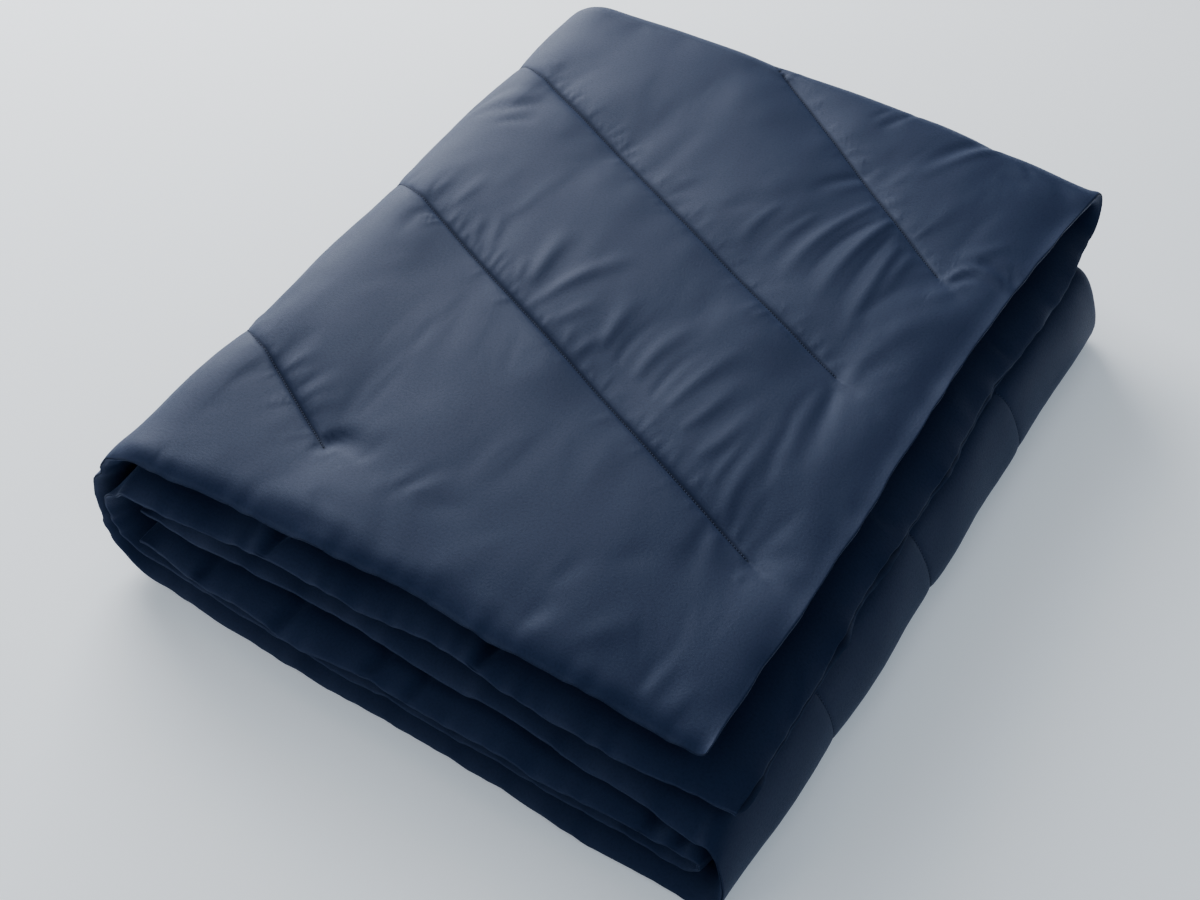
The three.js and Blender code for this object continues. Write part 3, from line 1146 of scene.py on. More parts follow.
@dataclass(frozen=True)
class FabricFinish:
    """Fine closely woven nylon, semi-matt, dyed navy, with painted shade in its stitch grooves, hem
    cracks, parted slits and the pits of its grain.
    """

    name: str = "navy woven fabric"
    colour: Colour = (0.0062, 0.0118, 0.0335)
    worn: Colour = (0.0084, 0.0146, 0.0390)
    # Painted shade: a darker, duller copy of the fabric. It is mixed in where the seam attribute marks
    # grooves and cracks, and in the low pits of the grain.
    painted_shade: Colour = (0.0016, 0.0026, 0.0070)
    seam_painted_shade: float = 0.94
    grain_pit_shade: float = 0.55
    painted_shade_roughness: float = 0.95
    painted_shade_gloss: float = 0.05
    roughness: float = 0.6
    uneven_roughness: float = 0.08
    thread: float = 0.42 * MM
    weave_high: float = 0.02 * MM
    grain_scale: float = 520.0
    grain_detail: float = 3.0
    grain_high: float = 0.22 * MM
    grain_pits: float = 0.25
    cloud_scale: float = 14.0
    cloud_detail: float = 2.0
    bump: float = 0.6
    mottle: float = 0.6
    mottle_start: float = 0.1
    gloss: float = 0.22
    gloss_tint: tuple = (0.45, 0.62, 1.0, 1.0)
    sheen: float = 0.08
    sheen_tint: tuple = (0.3, 0.5, 1.0, 1.0)
    sheen_roughness: float = 0.45

    def make(self) -> bpy.types.Material:
        """Builds the material, with a darker, duller copy of the fabric mixed in as painted shade.

        Returns:
            The material.
        """
        shader = Shader(self.name)
        flat = shader.node("ShaderNodeUVMap", {"uv_map": "flat"})
        u = shader.node("ShaderNodeSeparateXYZ", None, {0: flat}, output="X")
        v = shader.node("ShaderNodeSeparateXYZ", None, {0: flat}, output="Y")
        grain, cloud = (
            shader.node("ShaderNodeTexNoise", None, {"Vector": flat, "Scale": scale, "Detail": detail})
            for scale, detail in (
                (self.grain_scale, self.grain_detail),
                (self.cloud_scale, self.cloud_detail),
            )
        )
        turn = 2 * math.pi / self.thread
        weave = (u * turn).sine() * (v * turn).sine()
        height = weave * self.weave_high + grain * self.grain_high
        bump = {"Height": height, "Distance": 1.0, "Strength": self.bump}
        share = grain * self.mottle + cloud * self.mottle - self.mottle_start
        # The seam attribute marks where shade is painted: stitch grooves, cracks between hem lips and
        # parted slits.
        seam = shader.node("ShaderNodeAttribute", {"attribute_name": "seam"}, output="Fac")
        lit = shader.body(
            {
                "Base Color": share.blend((*self.colour, 1.0), (*self.worn, 1.0)),
                "Roughness": self.roughness + (cloud - 0.5) * self.uneven_roughness,
                "Normal": shader.node("ShaderNodeBump", None, bump),
                "Specular IOR Level": self.gloss,
                "Specular Tint": self.gloss_tint,
                "Sheen Weight": self.sheen,
                "Sheen Roughness": self.sheen_roughness,
                "Sheen Tint": self.sheen_tint,
            }
        )
        # This darker, duller copy of the fabric is painted shade, not a colour of the cloth.
        painted_shade = shader.body(
            {
                "Base Color": (*self.painted_shade, 1.0),
                "Roughness": self.painted_shade_roughness,
                "Specular IOR Level": self.painted_shade_gloss,
            }
        )
        # The low pits of the grain, where its bump is lowest, get painted shade too; the mix takes
        # whichever share is larger.
        pits = (1.0 - grain) * self.grain_pit_shade - self.grain_pits
        most = {"operation": "MAXIMUM", "use_clamp": True}
        both = shader.node("ShaderNodeMath", most, {0: seam * self.seam_painted_shade, 1: pits})
        return shader.surface(shader.node("ShaderNodeMixShader", None, {0: both, 1: lit, 2: painted_shade}))


@dataclass(frozen=True)
class ThreadFinish:
    """Twisted sewing thread, a little paler than the fabric."""

    name: str = "navy sewing thread"
    colour: Colour = (0.022, 0.036, 0.082)
    roughness: float = 0.6
    gloss: float = 0.2

    def make(self) -> bpy.types.Material:
        """Builds the material.

        Returns:
            The material.
        """
        shader = Shader(self.name)
        body = shader.body(
            {
                "Base Color": (*self.colour, 1.0),
                "Roughness": self.roughness,
                "Specular IOR Level": self.gloss,
            }
        )
        return shader.surface(body)


@dataclass(frozen=True)
class FloorFinish:
    """Plain pale studio floor."""

    name: str = "pale floor"
    colour: Colour = (0.87, 0.90, 0.94)
    roughness: float = 0.9
    glow: float = 0.22
    glow_colour: Colour = (0.85, 0.93, 1.0)

    def make(self) -> bpy.types.Material:
        """Builds the material.

        Returns:
            The material.
        """
        shader = Shader(self.name)
        body = shader.body(
            {
                "Base Color": (*self.colour, 1.0),
                "Roughness": self.roughness,
                "Emission Color": (*self.glow_colour, 1.0),
                "Emission Strength": self.glow,
            }
        )
        return shader.surface(body)


@dataclass
class Lane:
    """One stretch of the closed outline across the doubled cloth: its places q, sides and zip keys."""

    q: Array
    side: Array
    key: Array


@dataclass(frozen=True)
class Rows:
    """How many rows a face has, up to a way from the free right hem."""

    until: float
    count: int


@dataclass
class Blanket:
    """The folded blanket: one quilted cloth."""

    fold: FoldPath
    quilting: Quilting
    relief: Optional[Relief] = None
    back_loft: float = 9.8
    groove_rows: tuple = (-6.2, -3.0, -1.15, 0.0, 1.15, 3.0, 6.2)
    lip_sides: tuple = (0.62, 0.25, 0.0, -0.25, -0.62)
    lips: tuple = (0.75, 0.3, -0.7, 0.3, 0.75)
    end_lips: tuple = (0.6, 0.4, -0.1, -0.6, -0.8)
    hem_steps: tuple = (0, 0.9, 2, 3.6, 6, 9.5, 14, 19.5, 26)
    seam_rows: int = 124
    row_room: float = 36.0
    last_room: float = 8.0
    wall_start: float = 900.0
    far_end: float = 32.0
    corner: float = 6.0
    plain_rows: int = 10
    fold_rows: int = 12
    fold_round: float = 1.5
    hem_crease: float = 0.3
    inner_hem_crease: float = 0.12
    hem_keys: float = 0.9
    flat_size: tuple = (1.37, 1.69)

    HIDDEN_ROWS = (
        Rows(until=22, count=110),
        Rows(until=30, count=30),
        Rows(until=40, count=10),
        Rows(until=math.inf, count=4),
    )
    STRIP_ROWS = (Rows(until=60, count=110), Rows(until=66, count=30), Rows(until=math.inf, count=10))
    RING_STEPS = {Part.TOP: 260, Part.LEFT: 44, Part.BOTTOM: 82, Part.RIGHT: 26, Part.MIDDLE: 116}

    def depth_at(self, p: Array, q: Array) -> tuple[Array, Array]:
        """Depths y of the outer and the inner half at places of the cloth.

        Args:
            p: Places of the path.
            q: Places across the cloth.

        Returns:
            Depths of the outer half, and of the inner one.
        """
        back = self.fold.back(p)
        outer = mix(self.fold.front(Half.OUTER, p), back, np.clip(q, 0, 1))
        inner = mix(back, self.fold.front(Half.INNER, p), np.clip(q - 2, 0, 1))
        return outer, inner

    def round_fold(self, p: Array, q: Array) -> Array:
        """Way round the half fold, past the place where it starts."""
        rise = self.fold.loft(Half.OUTER, p) + self.fold.loft(Half.INNER, p)
        return np.clip(q - 1, 0, 1) * rise * self.fold_round

    def thick(self, p: Array, q: Array) -> Array:
        """Thickness of the cloth, drawn together along hems and seams.

        Args:
            p: Places of the path.
            q: Places across the cloth.

        Returns:
            One thickness for each place.
        """
        outer_y, inner_y = self.depth_at(p, q)
        found = []
        for half, y in ((Half.OUTER, outer_y), (Half.INNER, inner_y)):
            full = self.fold.fullness(half, p, y)
            plain = mix(self.fold.hem_thick, self.fold.loft(half, p), full)
            if half is Half.INNER:
                plain = plain + self.fold.open_by(self.fold.way(half, p), y)
            found.append(plain)
        turn = np.clip(q - 1, 0, 1)
        flat = mix(found[0], found[1], turn)
        flat = mix(flat, np.minimum(flat, self.back_loft), np.sin(np.pi * turn))
        u = self.fold.way(Half.OUTER, p)
        deep = self.quilting.hollow(u, outer_y + self.round_fold(p, q)) * (1 - ease(turn))
        return mix(flat, np.minimum(flat, self.quilting.thick), deep)

    def lift(self, p: Array, q: Array, side: Array) -> Array:
        """How far each face stands out past its plain form.

        Args:
            p: Places of the path.
            q: Places across the cloth.
            side: 1 on the outward face, -1 on the inward one, and between them on a hem.

        Returns:
            One height for each place.
        """
        outer_y, inner_y = self.depth_at(p, q)
        value = np.zeros_like(p)
        on = (q < 2) & (side == Side.OUTWARD)
        u, v = self.fold.way(Half.OUTER, p[on]), outer_y[on] + self.round_fold(p[on], q[on])
        full = self.fold.fullness(Half.OUTER, p[on], outer_y[on])
        plain = self.quilting.uneven(u, v, self.quilting.outer_seed) * full
        if self.relief is not None:
            filled = self.fold.split(p[on])[0] <= Part.LEFT
            plain = np.where(filled, self.relief.at(u, v), plain)
        creased = self.quilting.creased(u, v) * np.maximum(full, self.hem_crease)
        value[on] = (plain + creased) * (1 - smooth(q[on] - 1))
        on = (q > 1) & (side == Side.INWARD)
        u, v = self.fold.way(Half.INNER, p[on]), inner_y[on]
        full = np.maximum(self.fold.fullness(Half.INNER, p[on], v), self.inner_hem_crease)
        value[on] = self.quilting.inner_lift(u, v) * full * smooth(q[on] - 1)
        return value

    def sink(self, p: Array, q: Array, sharp: bool = True) -> Array:
        """How far both faces of the outer half sink along its seams.

        Args:
            p: Places of the path.
            q: Places across the cloth.
            sharp: Whether the grooves of the stitches are counted too.

        Returns:
            The depth at each place.
        """
        u = self.fold.way(Half.OUTER, p)
        v = self.depth_at(p, q)[0] + self.round_fold(p, q)
        deep = self.quilting.valleys(u, v)
        if sharp:
            deep = deep + self.quilting.groove * self.quilting.band(u, v, self.quilting.groove_wide)
        return deep * (1 - smooth(q - 1))

    def points(self, p: Array, q: Array, side: Array, end: float = 0.0) -> Array:
        """Points of the cloth's skin.

        Args:
            p: Places of the path.
            q: Places across the cloth.
            side: 1 on the outward face, -1 on the inward one, and between them on a hem.
            end: -1 or 1 for points on the free end at the path's start or finish.

        Returns:
            Rows of x, y and z, in millimetres.
        """
        outward = self.fold.outward(p, q)
        outer_y, inner_y = self.depth_at(p, q)
        reach = side * self.thick(p, q) / 2 + side * self.lift(p, q, side) - self.sink(p, q)
        found = self.fold.middle(p, q) + outward * reach[:, None]
        lip = self.lip(side, self.lips)
        if end < 0:
            inside = np.clip(1 - (side / self.lip_sides[0]) ** 2, 0, 1)
            gap = self.fold.open_by(np.zeros_like(p), inner_y)
            apart = self.fold.slit_apart * side * (np.abs(side) < 1)
            parted = gap * (apart - self.fold.slit_deep * inside)
            lip = np.where(q > 2, lip + parted, np.where(q < 1, self.lip(side, self.end_lips), lip))
        front = np.where(q <= 0, -1.0, np.where(q >= Q_END, 1.0, 0.0))
        found += self.fold.across(p, q) * (lip * front)[:, None]
        outer_front, inner_front = self.fold.front(Half.OUTER, p), self.fold.front(Half.INNER, p)
        away = np.where(q < 2, outer_y - outer_front, inner_y - inner_front)
        found += self.fold.onward(p, q) * (lip * end * np.clip(away / self.corner, 0, 1))[:, None]
        rise = self.fold.end_rise(self.fold.way(Half.OUTER, p)) * (1 - smooth(q - 1))
        found[:, 2] = np.maximum(found[:, 2] + rise, 0)
        return found

    def lip(self, side: Array, lips: Sequence[float]) -> Array:
        """How far a hem's edge stands out, from its outward face over its two lips to its inward face."""
        return np.interp(side, (-1, *self.lip_sides[::-1], 1), (0, *lips[::-1], 0))

    def rows_over(self, p: float, count: int) -> Array:
        """Places of q over the outer half: close together at the hem, then even.

        Args:
            p: Place of the path.
            count: How many even rows there are.

        Returns:
            The places, from the hem to the half fold.
        """
        at = np.array([p])
        long = (self.fold.back(at) - self.fold.front(Half.OUTER, at))[0]
        near = np.array(self.hem_steps) / long
        return np.concatenate([near, np.linspace(near[-1], 1, count + 1)[1:]])

    def seam_rows_over(self, p: float) -> Array:
        """Places of q over the outer half: some on and beside each seam's line, and even between them.

        Args:
            p: Place of the path.

        Returns:
            The places, from the hem to the half fold.
        """
        rows = self.rows_over(p, self.seam_rows)
        at = np.array([p])
        u = self.fold.way(Half.OUTER, at)[0]
        front, back = self.fold.front(Half.OUTER, at)[0], self.fold.back(at)[0]
        first, last = len(self.hem_steps) - 1, len(rows) - 1
        on_wall = self.fold.split(at)[0][0] > Part.BOTTOM
        fixed = [(first, rows[first])]
        middle = len(self.groove_rows) // 2
        seams = [seam for seam in self.quilting.SEAMS if (seam.u0 > self.wall_start) == on_wall]
        for k, seam in enumerate(seams):
            v = mix(seam.v0, seam.v1, np.clip((u - seam.u0) / (seam.u1 - seam.u0), 0, 1))
            v = min(v, back - self.last_room - self.row_room * (len(seams) - 1 - k))
            q = (v - front) / (back - front)
            row = round(mix(first, last, (q - rows[first]) / (1 - rows[first])))
            row = min(max(row, fixed[-1][0] + middle + 1), last - middle - 1)
            beside = [q + away / (back - front) for away in self.groove_rows]
            fixed += list(enumerate(beside, start=row - middle))
        fixed.append((last, 1.0))
        for (row_a, q_a), (row_b, q_b) in zip(fixed, fixed[1:]):
            rows[row_a : row_b + 1] = np.linspace(q_a, q_b, row_b - row_a + 1)
        return rows

    def lanes(self, p: float) -> list[Lane]:
        """The closed outline across the doubled cloth, lane by lane, each without its last point.

        Args:
            p: Place of the path.

        Returns:
            Four lanes from the outer hem to the inner one, and four back.
        """
        k = int(self.fold.split(np.array([p]))[0][0])
        u = self.fold.way(Half.INNER, np.array([p]))[0]
        quilted = k in (Part.TOP, Part.LEFT, Part.RIGHT)
        outer = self.seam_rows_over(p) if quilted else self.rows_over(p, self.plain_rows)
        past = self.fold.starts(Half.INNER)[-1] - u < self.far_end
        hidden, shown = (
            next(rows.count for rows in table if u < rows.until)
            for table in (self.HIDDEN_ROWS, self.STRIP_ROWS)
        )
        under = self.rows_over(p, self.plain_rows if past else hidden)
        strip = self.rows_over(p, shown)
        turn = 1 + np.linspace(0, 1, self.fold_rows + 1)

        def lane(q: Array, side: float) -> Lane:
            """A lane over one face."""
            kept = q[:-1]
            return Lane(kept, np.full(len(kept), float(side)), kept if side > 0 else 2 * Q_END - kept)

        def hem(q: float, sides: Sequence[float]) -> Lane:
            """A lane over the edge of a front hem."""
            keys = 2 * Q_END - q + np.linspace(0, self.hem_keys, len(sides))
            return Lane(np.full(len(sides), q), np.array(sides), keys)

        return [
            lane(outer, 1),
            lane(turn, 1),
            lane((Q_END - under)[::-1], 1),
            hem(Q_END, (1.0, *self.lip_sides)),
            lane(Q_END - strip, -1),
            lane(turn[::-1], -1),
            lane(under[::-1], -1),
            hem(0.0, (-1.0, *self.lip_sides[::-1])),
        ]

    def places(self) -> Array:
        """Places of the path: even in each part, closer at the free ends.

        Returns:
            The places, in order.
        """
        starts, found = self.fold.starts(Half.OUTER), []
        for part in Part:
            steps, long = self.RING_STEPS[part], starts[part + 1] - starts[part]
            near = np.array(self.hem_steps) / long
            first = near[-1] if part == Part.TOP else 0.0
            last = 1 - near[-1] if part == Part.MIDDLE else 1.0
            if part == Part.TOP:
                found += list(near[:-1])
            found += list(part + np.linspace(first, last, steps + 1)[:-1])
            if part == Part.MIDDLE:
                found += list(PARTS - near[::-1])
        return np.array(found)

    def build(self) -> bpy.types.Object:
        """Builds the cloth as one closed mesh.

        Returns:
            The object.
        """
        skin = Skin()
        rings = []
        for p in self.places():
            ring = [(lane, skin.add(np.full(len(lane.q), p), lane.q, lane.side)) for lane in self.lanes(p)]
            rings.append((p, ring))
        for (p, ring), (_, after) in zip(rings, rings[1:]):
            falling = self.fold.split(np.array([p]))[0][0] >= Part.RIGHT
            for n in range(len(ring)):
                skin.zip(*self.closed(ring, n), *self.closed(after, n), falling)
        for (p, ring), end in ((rings[0], -1.0), (rings[-1], 1.0)):
            self.cap(skin, p, ring, end)
        points = np.zeros((len(skin.p), 3))
        for end in (0.0, -1.0, 1.0):
            on = skin.end == end
            points[on] = self.points(skin.p[on], skin.q[on], skin.side[on], end)
        outer_y, inner_y = self.depth_at(skin.p, skin.q)
        v = np.where(skin.q <= 1, outer_y, 2 * self.fold.depth - inner_y)
        v = np.where((skin.q > 1) & (skin.q < 2), outer_y + self.round_fold(skin.p, skin.q), v)
        flat = np.stack([self.fold.way(Half.OUTER, skin.p), v], axis=1) * MM
        made = skin.finish("blanket_cloth", (points - ORIGIN) * MM, flat)
        # Painted shade, by the seam attribute: along the stitch grooves of the outward face, in the crack
        # between the lips of each hem, and in the parted slits of the second layer's right hem. The top
        # layer's right hem gets none.
        shade = self.quilting.band(*(flat.T / MM), self.quilting.shade_wide) * (skin.side == Side.OUTWARD)
        shade = np.where(skin.side == 0, 1.0, shade)
        parted = (skin.end < 0) & (skin.q > 2) & (np.abs(skin.side) < self.lip_sides[0])
        shade = np.where(parted, 1.0, np.where((skin.end < 0) & (skin.q < 1), 0.0, shade))
        layer = made.data.attributes.new("seam", "FLOAT", "POINT")
        layer.data.foreach_set("value", shade.astype(np.float32))
        log.info("blanket: %d points, %d triangles", len(points), len(made.data.polygons))
        return made

    @staticmethod
    def closed(ring: list, n: int) -> tuple[Array, Array]:
        """Point numbers and keys of one lane, with the next lane's first point added.

        Args:
            ring: The lanes of an outline, with their points.
            n: Which lane.

        Returns:
            The numbers, and the keys.
        """
        lane, ids = ring[n]
        after, after_ids = ring[(n + 1) % len(ring)]
        last = 2 * Q_END + 1 if n == len(ring) - 1 else after.key[0]
        return np.append(ids, after_ids[0]), np.append(lane.key, last)

    def cap(self, skin: "Skin", p: float, ring: list, end: float) -> None:
        """Closes a free end with the two lips of its hem.

        Args:
            skin: The skin that is being made.
            p: Place of the end.
            ring: The outline at the end.
            end: -1 at the path's start, 1 at its finish.
        """
        half = len(ring) // 2
        (*there, (_, far_hem)), (*again, (_, near_hem)) = ring[:half], ring[half:]
        outer = np.concatenate([ids for _, ids in there] + [far_hem[:1]])
        outer_q = np.concatenate([lane.q for lane, _ in there] + [[Q_END]])
        inner = np.concatenate([near_hem[:1]] + [ids[::-1] for _, ids in again[::-1]])
        inner_q = np.concatenate([[0.0]] + [lane.q[::-1] for lane, _ in again[::-1]])
        columns, count = [outer], len(outer) - 2
        for side, first, last in zip(self.lip_sides, near_hem[::-1], far_hem[1:]):
            made = skin.add(np.full(count, p), outer_q[1:-1], np.full(count, side), end)
            columns.append(np.concatenate([[first], made, [last]]))
        pairs = [(a, outer_q, b, outer_q) for a, b in zip(columns, columns[1:])]
        pairs.append((columns[-1], outer_q, inner, inner_q))
        for a, a_key, b, b_key in pairs:
            if end < 0:
                skin.zip(b, b_key, a, a_key, False)
            else:
                skin.zip(a, a_key, b, b_key, False)

    def dress(self, cloth: bpy.types.Object, finish: FabricFinish) -> None:
        """Gives the cloth its finish."""
        cloth.data.materials.append(finish.make())


class Skin:
    """Points and triangles of a closed skin, while it is made."""

    def __init__(self) -> None:
        """Starts with nothing."""
        self.p = np.zeros(0)
        self.q = np.zeros(0)
        self.side = np.zeros(0)
        self.end = np.zeros(0)
        self.triangles: list[Array] = []

    def add(self, p: Array, q: Array, side: Array, end: float = 0.0) -> Array:
        """Adds points.

        Args:
            p: Places of the path.
            q: Places across the cloth.
            side: 1 on the outward face, -1 on the inward one, and between them on a hem.
            end: -1 or 1 for points on a free end.

        Returns:
            Their numbers.
        """
        first = len(self.p)
        self.p = np.concatenate([self.p, p])
        self.q = np.concatenate([self.q, q])
        self.side = np.concatenate([self.side, side])
        self.end = np.concatenate([self.end, np.full(len(p), end)])
        return np.arange(first, len(self.p))

    def zip(self, a: Array, a_key: Array, b: Array, b_key: Array, falling: bool) -> None:
        """Adds the triangles between two lanes: row by row, or by key where their rows differ.

        Args:
            a: Point numbers of the first lane.
            a_key: Its keys.
            b: Point numbers of the second lane.
            b_key: Its keys.
            falling: Which way the diagonals run.
        """
        if len(a) == len(b):
            if falling:
                pairs = ((a[:-1], a[1:], b[:-1]), (a[1:], b[1:], b[:-1]))
            else:
                pairs = ((a[:-1], b[1:], b[:-1]), (a[:-1], a[1:], b[1:]))
            self.triangles += [np.stack(three, axis=1) for three in pairs]
            return
        i, j, found = 0, 0, []
        while i < len(a) - 1 or j < len(b) - 1:
            if j < len(b) - 1 and (i == len(a) - 1 or b_key[j + 1] <= a_key[i + 1]):
                found.append((a[i], b[j + 1], b[j]))
                j += 1
            else:
                found.append((a[i], a[i + 1], b[j]))
                i += 1
        self.triangles.append(np.array(found))

    def finish(self, name: str, points: Array, flat: Array) -> bpy.types.Object:
        """Makes the object.

        Args:
            name: The object's name.
            points: The points, in metres.
            flat: Each point's place on the flat cloth, in metres.

        Returns:
            The object.
        """
        made = add_mesh(name, points, np.concatenate(self.triangles))
        mesh = made.data
        mesh.shade_smooth()
        layer = mesh.uv_layers.new(name="flat")
        corners = np.empty(len(mesh.loops), np.int32)
        mesh.loops.foreach_get("vertex_index", corners)
        layer.uv.foreach_set("vector", flat[corners].astype(np.float32).ravel())
        return made


@dataclass
class Filling:
    """The filling, which rounds the top face out between its seams: the face is simulated as cloth."""

    rings: int = 190
    left_rings: int = 40
    rows: int = 130
    hem_steps: tuple = (0, 5, 11, 18)
    frames: int = 20
    quality: int = 5
    mass: float = 0.15
    stretch: float = 15.0
    shear: float = 5.0
    bend: float = 0.06
    pressure: float = 1.6
    air: float = 2.0
    spare_low: float = 0.0
    spare_high: float = 0.035
    spare_run: float = 22.0
    spare_before: float = 0.15
    levels: int = 20
    seam_share: float = 0.93
    past_end: float = 1.0
    deepest: float = -5.0
    highest: float = 8.0
    grid: float = 2.5
    softened: int = 2

    def spare(self, quilting: Quilting, u: Array, v: Array) -> Array:
        """How much the seams gather the face: 1 beside a seam, 0 away from it.

        Args:
            quilting: The quilting that holds the seams.
            u: Ways along the cloth.
            v: Ways across the cloth.

        Returns:
            One share for each place.
        """
        found = np.zeros_like(u)
        for seam in quilting.SEAMS:
            _, off, past = seam.measure(u, v)
            one = seam.deep * np.exp(-(np.abs(off) + past) / self.spare_run)
            found = np.maximum(found, one * np.where(off > 0, 1.0, self.spare_before))
        return found

    def run(self, blanket: Blanket) -> Relief:
        """Simulates the top face.

        Args:
            blanket: The blanket, before it is filled.

        Returns:
            How far the face stands out past its plain form.
        """
        coarse = replace(blanket, seam_rows=self.rows, hem_steps=self.hem_steps, groove_rows=(0.0,))
        fold, quilting = blanket.fold, blanket.quilting
        top, left = np.linspace(0, 1, self.rings + 1), np.linspace(1, 2, self.left_rings + 1)
        places = np.minimum(np.concatenate([top, left[1:]]), 2 - NUDGE)
        rows = [coarse.seam_rows_over(p) for p in places]
        shape = (len(places), len(rows[0]))
        p, q = np.repeat(places, shape[1]), np.concatenate(rows)
        u, v = fold.way(Half.OUTER, p), coarse.depth_at(p, q)[0]
        outward = fold.outward(p, q)
        reach = coarse.thick(p, q) / 2 - coarse.sink(p, q, sharp=False)
        plain = fold.middle(p, q) + outward * reach[:, None]
        lift = quilting.uneven(u, v, quilting.outer_seed) * fold.fullness(Half.OUTER, p, v)
        sewn = (quilting.hollow(u, v) > self.seam_share) & (quilting.past(u, v) < self.past_end)
        held = sewn.reshape(shape)
        held[0] = held[-1] = True
        held[:, : len(self.hem_steps) - 1] = True
        held[:, -1] = True
        start = plain + outward * (lift * ~held.ravel())[:, None]
        moved = self.simulate(start, shape, held.ravel(), self.spare(quilting, u, v))
        stand = ((moved - plain) * outward).sum(axis=1)
        most = np.where(stand > 0, self.highest, self.deepest)
        stand = most * np.tanh(stand / most)
        return self.even_grid(u.reshape(shape), v.reshape(shape), stand.reshape(shape))

    def simulate(self, start: Array, shape: tuple[int, int], held: Array, spare: Array) -> Array:
        """Runs Blender's cloth on a grid of points.

        Args:
            start: The points, in millimetres.
            shape: How many rings and rows.
            held: Which points stay in place.
            spare: How much more cloth there is at each point, from 0 to 1.

        Returns:
            The moved points, in millimetres.
        """
        ids = np.arange(len(start)).reshape(shape)
        corners = (ids[:-1, :-1], ids[:-1, 1:], ids[1:, 1:], ids[1:, :-1])
        made = add_mesh("filling", start * MM, np.stack(corners, axis=2).reshape(-1, len(corners)))
        pins = made.vertex_groups.new(name="held")
        pins.add(np.nonzero(held)[0].tolist(), 1.0, "REPLACE")
        more = made.vertex_groups.new(name="spare")
        level = np.round(spare * self.levels).astype(int)
        for n in range(self.levels + 1):
            more.add(np.nonzero(level == n)[0].tolist(), n / self.levels, "REPLACE")
        cloth = made.modifiers.new("cloth", "CLOTH")
        cloth.collision_settings.use_collision = False
        settings = {
            "quality": self.quality,
            "mass": self.mass,
            "tension_stiffness": self.stretch,
            "compression_stiffness": self.stretch,
            "shear_stiffness": self.shear,
            "bending_stiffness": self.bend,
            "air_damping": self.air,
            "vertex_group_mass": pins.name,
            "vertex_group_shrink": more.name,
            "shrink_min": -self.spare_low,
            "shrink_max": -self.spare_high,
            "use_pressure": True,
            "uniform_pressure_force": self.pressure,
        }
        for name, value in settings.items():
            setattr(cloth.settings, name, value)
        cloth.settings.effector_weights.gravity = 0
        scene = bpy.context.scene
        for number in range(1, self.frames + 1):
            scene.frame_set(number)
        posed = made.evaluated_get(bpy.context.evaluated_depsgraph_get())
        moved = np.empty(len(start) * 3)
        posed.data.vertices.foreach_get("co", moved)
        scene.frame_set(1)
        bpy.data.objects.remove(made)
        log.info("filling: %d points simulated over %d frames", len(start), self.frames)
        return moved.reshape(-1, 3) / MM

    def even_grid(self, u: Array, v: Array, stand: Array) -> Relief:
        """Lays the simulated relief on an even grid.

        Args:
            u: Ways along the cloth, ring by ring.
            v: Ways across the cloth.
            stand: How far each point stands out.

        Returns:
            The relief.
        """
        ways = np.arange(0, u.max() + self.grid, self.grid)
        depths = np.arange(0, v.max() + self.grid, self.grid)
        rings = np.stack([np.interp(depths, v[n], stand[n], left=0) for n in range(len(v))])
        values = np.stack([np.interp(ways, u[:, 0], column) for column in rings.T], axis=1)
        relief = Relief(values, self.grid)
        relief.soften(self.softened)
        return relief


@dataclass(frozen=True)
class Hoop:
    """One ring of a stitch: where it is along the stitch's length, and its size."""

    at: float
    size: float


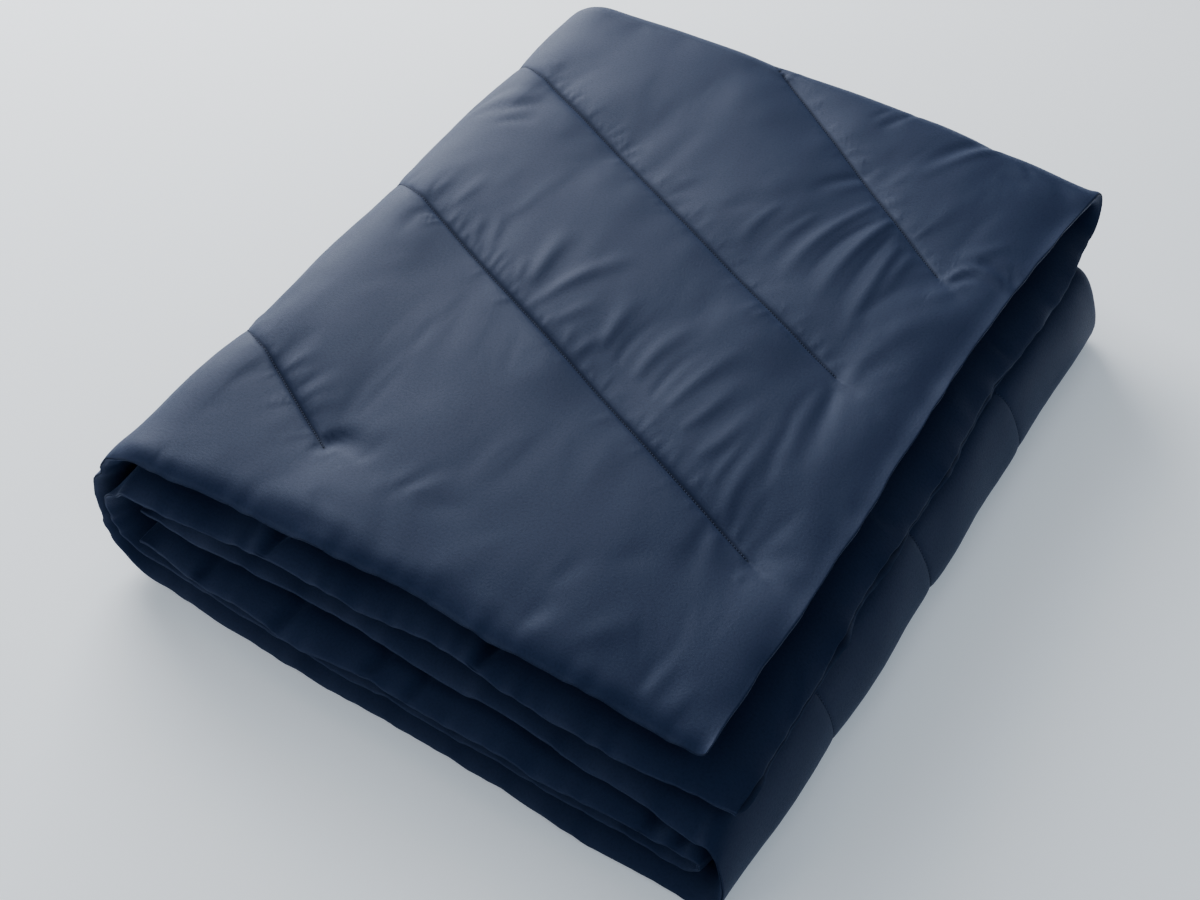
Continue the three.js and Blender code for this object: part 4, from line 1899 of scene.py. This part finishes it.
@dataclass
class QuiltingThread:
    """The stitches of the quilting seams."""

    blanket: Blanket
    pitch: float = 2.7
    long: float = 1.5
    radius: float = 0.42
    proud: float = 0.3
    floor_room: float = 2.0
    sides: int = 6
    flat: float = 0.8

    HOOPS = (
        Hoop(at=-0.44, size=0.65),
        Hoop(at=-0.2, size=1.0),
        Hoop(at=0.2, size=1.0),
        Hoop(at=0.44, size=0.65),
    )

    def build(self) -> bpy.types.Object:
        """Builds every stitch as a short rounded rod that lies in its seam.

        Returns:
            The object.
        """
        fold, quilting = self.blanket.fold, self.blanket.quilting
        middles, ways, outs = [], [], []
        for seam in quilting.SEAMS:
            count = int(seam.long / self.pitch)
            share = (np.arange(count) + 0.5) / count
            ends = []
            for step in (-0.5, 0.5):
                at = share + step * self.long / seam.long
                u, v = mix(seam.u0, seam.u1, at), mix(seam.v0, seam.v1, at)
                p = fold.place(Half.OUTER, u)
                front, back = fold.front(Half.OUTER, p), fold.back(p)
                q = (v - front) / (back - front)
                ends.append(self.blanket.points(p, np.minimum(q, 1), np.ones_like(p)))
                out = fold.outward(p, np.minimum(q, 1))
            middle = (ends[0] + ends[1]) / 2 + out * self.proud
            shown = (q < 1) & (middle[:, 2] > self.floor_room)
            middles.append(middle[shown])
            ways.append((ends[1] - ends[0])[shown])
            outs.append(out[shown])
        middle, way, out = (np.concatenate(rows) for rows in (middles, ways, outs))
        return self.rods(middle, way, out)

    def rods(self, middle: Array, way: Array, out: Array) -> bpy.types.Object:
        """Makes the rods.

        Args:
            middle: Middle of each stitch.
            way: Its end to end vector.
            out: The fabric's outward direction there.

        Returns:
            The object.
        """
        beside = unit(np.cross(way, out))
        over = unit(np.cross(beside, way))
        turns = np.linspace(0, 2 * np.pi, self.sides, endpoint=False)
        points, faces = [middle - way / 2, middle + way / 2], []
        tips = len(points)
        for hoop in self.HOOPS:
            for turn in turns:
                spoke = beside * math.cos(turn) + over * math.sin(turn) * self.flat
                points.append(middle + way * hoop.at + spoke * self.radius * hoop.size)
        for n in range(self.sides):
            firsts = [tips + k * self.sides for k in range(len(self.HOOPS))]
            rows, beyond = ([first + m % self.sides for first in firsts] for m in (n, n + 1))
            faces += [(0, beyond[0], rows[0]), (1, rows[-1], beyond[-1])]
            for a, b, c, d in zip(rows, beyond, beyond[1:], rows[1:]):
                faces += [(a, b, c), (a, c, d)]
        cloud = (np.stack(points, axis=1).reshape(-1, 3) - ORIGIN) * MM
        every = np.array(faces)[None] + (np.arange(len(middle)) * len(points))[:, None, None]
        made = add_mesh("quilting_thread", cloud, every.reshape(-1, 3))
        made.data.shade_smooth()
        log.info("quilting thread: %d stitches", len(middle))
        return made

    def dress(self, thread: bpy.types.Object, finish: ThreadFinish) -> None:
        """Gives the thread its finish."""
        thread.data.materials.append(finish.make())


@dataclass(frozen=True)
class Light:
    """A square light: its place and size in metres, its power in watts and its colour."""

    name: str
    place: tuple
    size: float
    power: float
    colour: Colour = (1.0, 1.0, 1.0)


@dataclass
class Studio:
    """Floor, lights and camera. Lengths are in metres, and those of the camera's sensor in millimetres."""

    target: tuple = (0.02404, -0.09057, 0.063)
    distance: float = 1.3367
    azimuth: float = 32.26
    elevation: float = 47.351
    sensor: float = 36.0
    lens: float = 52.53
    near: float = 0.01
    floor_size: float = 30.0
    floor_room: float = 0.3 * MM
    world: Colour = (0.78, 0.89, 1.0)
    world_strength: float = 0.28

    LIGHTS = (
        Light(name="key", place=(-1.75, 1.2, 1.1), size=1.8, power=118.0),
        Light(name="overhead", place=(-0.6, 0.6, 2.3), size=1.8, power=12.0),
        Light(name="front", place=(-0.9, -1.6, 0.5), size=1.2, power=11.0),
        Light(name="side", place=(1.4, -0.7, 1.5), size=1.2, power=5.0, colour=(0.55, 0.78, 1.0)),
    )

    def build(self) -> None:
        """Builds the floor, the lights and the camera."""
        self.floor()
        self.lights()
        self.camera()

    def floor(self) -> None:
        """Builds the floor."""
        corners = np.array([(-1, -1, 0), (1, -1, 0), (1, 1, 0), (-1, 1, 0)]) * self.floor_size / 2
        made = add_mesh("studio_floor", corners, np.arange(len(corners))[None])
        made.location.z = -self.floor_room
        made.data.materials.append(FloorFinish().make())

    def lights(self) -> None:
        """Builds the lights, each aimed at the blanket, and the even light around."""
        for light in self.LIGHTS:
            data = bpy.data.lights.new(light.name, "AREA")
            data.shape = "SQUARE"
            data.size = light.size
            data.energy = light.power
            data.color = light.colour
            made = add_object(light.name, data)
            made.location = light.place
            aim = Vector(self.target) - Vector(light.place)
            made.rotation_euler = aim.to_track_quat("-Z", "Y").to_euler()
        world = bpy.data.worlds.new("studio")
        world.use_nodes = True
        background = world.node_tree.nodes["Background"]
        background.inputs["Color"].default_value = (*self.world, 1.0)
        background.inputs["Strength"].default_value = self.world_strength
        bpy.context.scene.world = world

    def camera(self) -> None:
        """Builds the camera at the picture's angle."""
        turn, rise = math.radians(self.azimuth), math.radians(self.elevation)
        level = math.cos(rise)
        back = Vector((math.sin(turn) * level, -math.cos(turn) * level, math.sin(rise)))
        right = Vector((math.cos(turn), math.sin(turn), 0))
        up = back.cross(right)
        data = bpy.data.cameras.new("camera")
        data.sensor_width = self.sensor
        data.lens = self.lens
        data.clip_start = self.near
        made = add_object("camera", data)
        place = Matrix((right, up, back)).transposed().to_4x4()
        place.translation = Vector(self.target) + back * self.distance
        made.matrix_world = place
        bpy.context.scene.camera = made


def main() -> None:
    """Builds the blanket and its studio."""
    logging.basicConfig(level=logging.INFO, format="%(name)s: %(message)s")
    blanket = Blanket(FoldPath(), Quilting())
    blanket.relief = Filling().run(blanket)
    cloth = blanket.build()
    blanket.dress(cloth, FabricFinish())
    stitching = QuiltingThread(blanket)
    thread = stitching.build()
    stitching.dress(thread, ThreadFinish())
    for piece in (cloth, thread):
        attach(piece, "root")
        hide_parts("blanket")
    Studio().build()


if __name__ == "__main__":
    main()
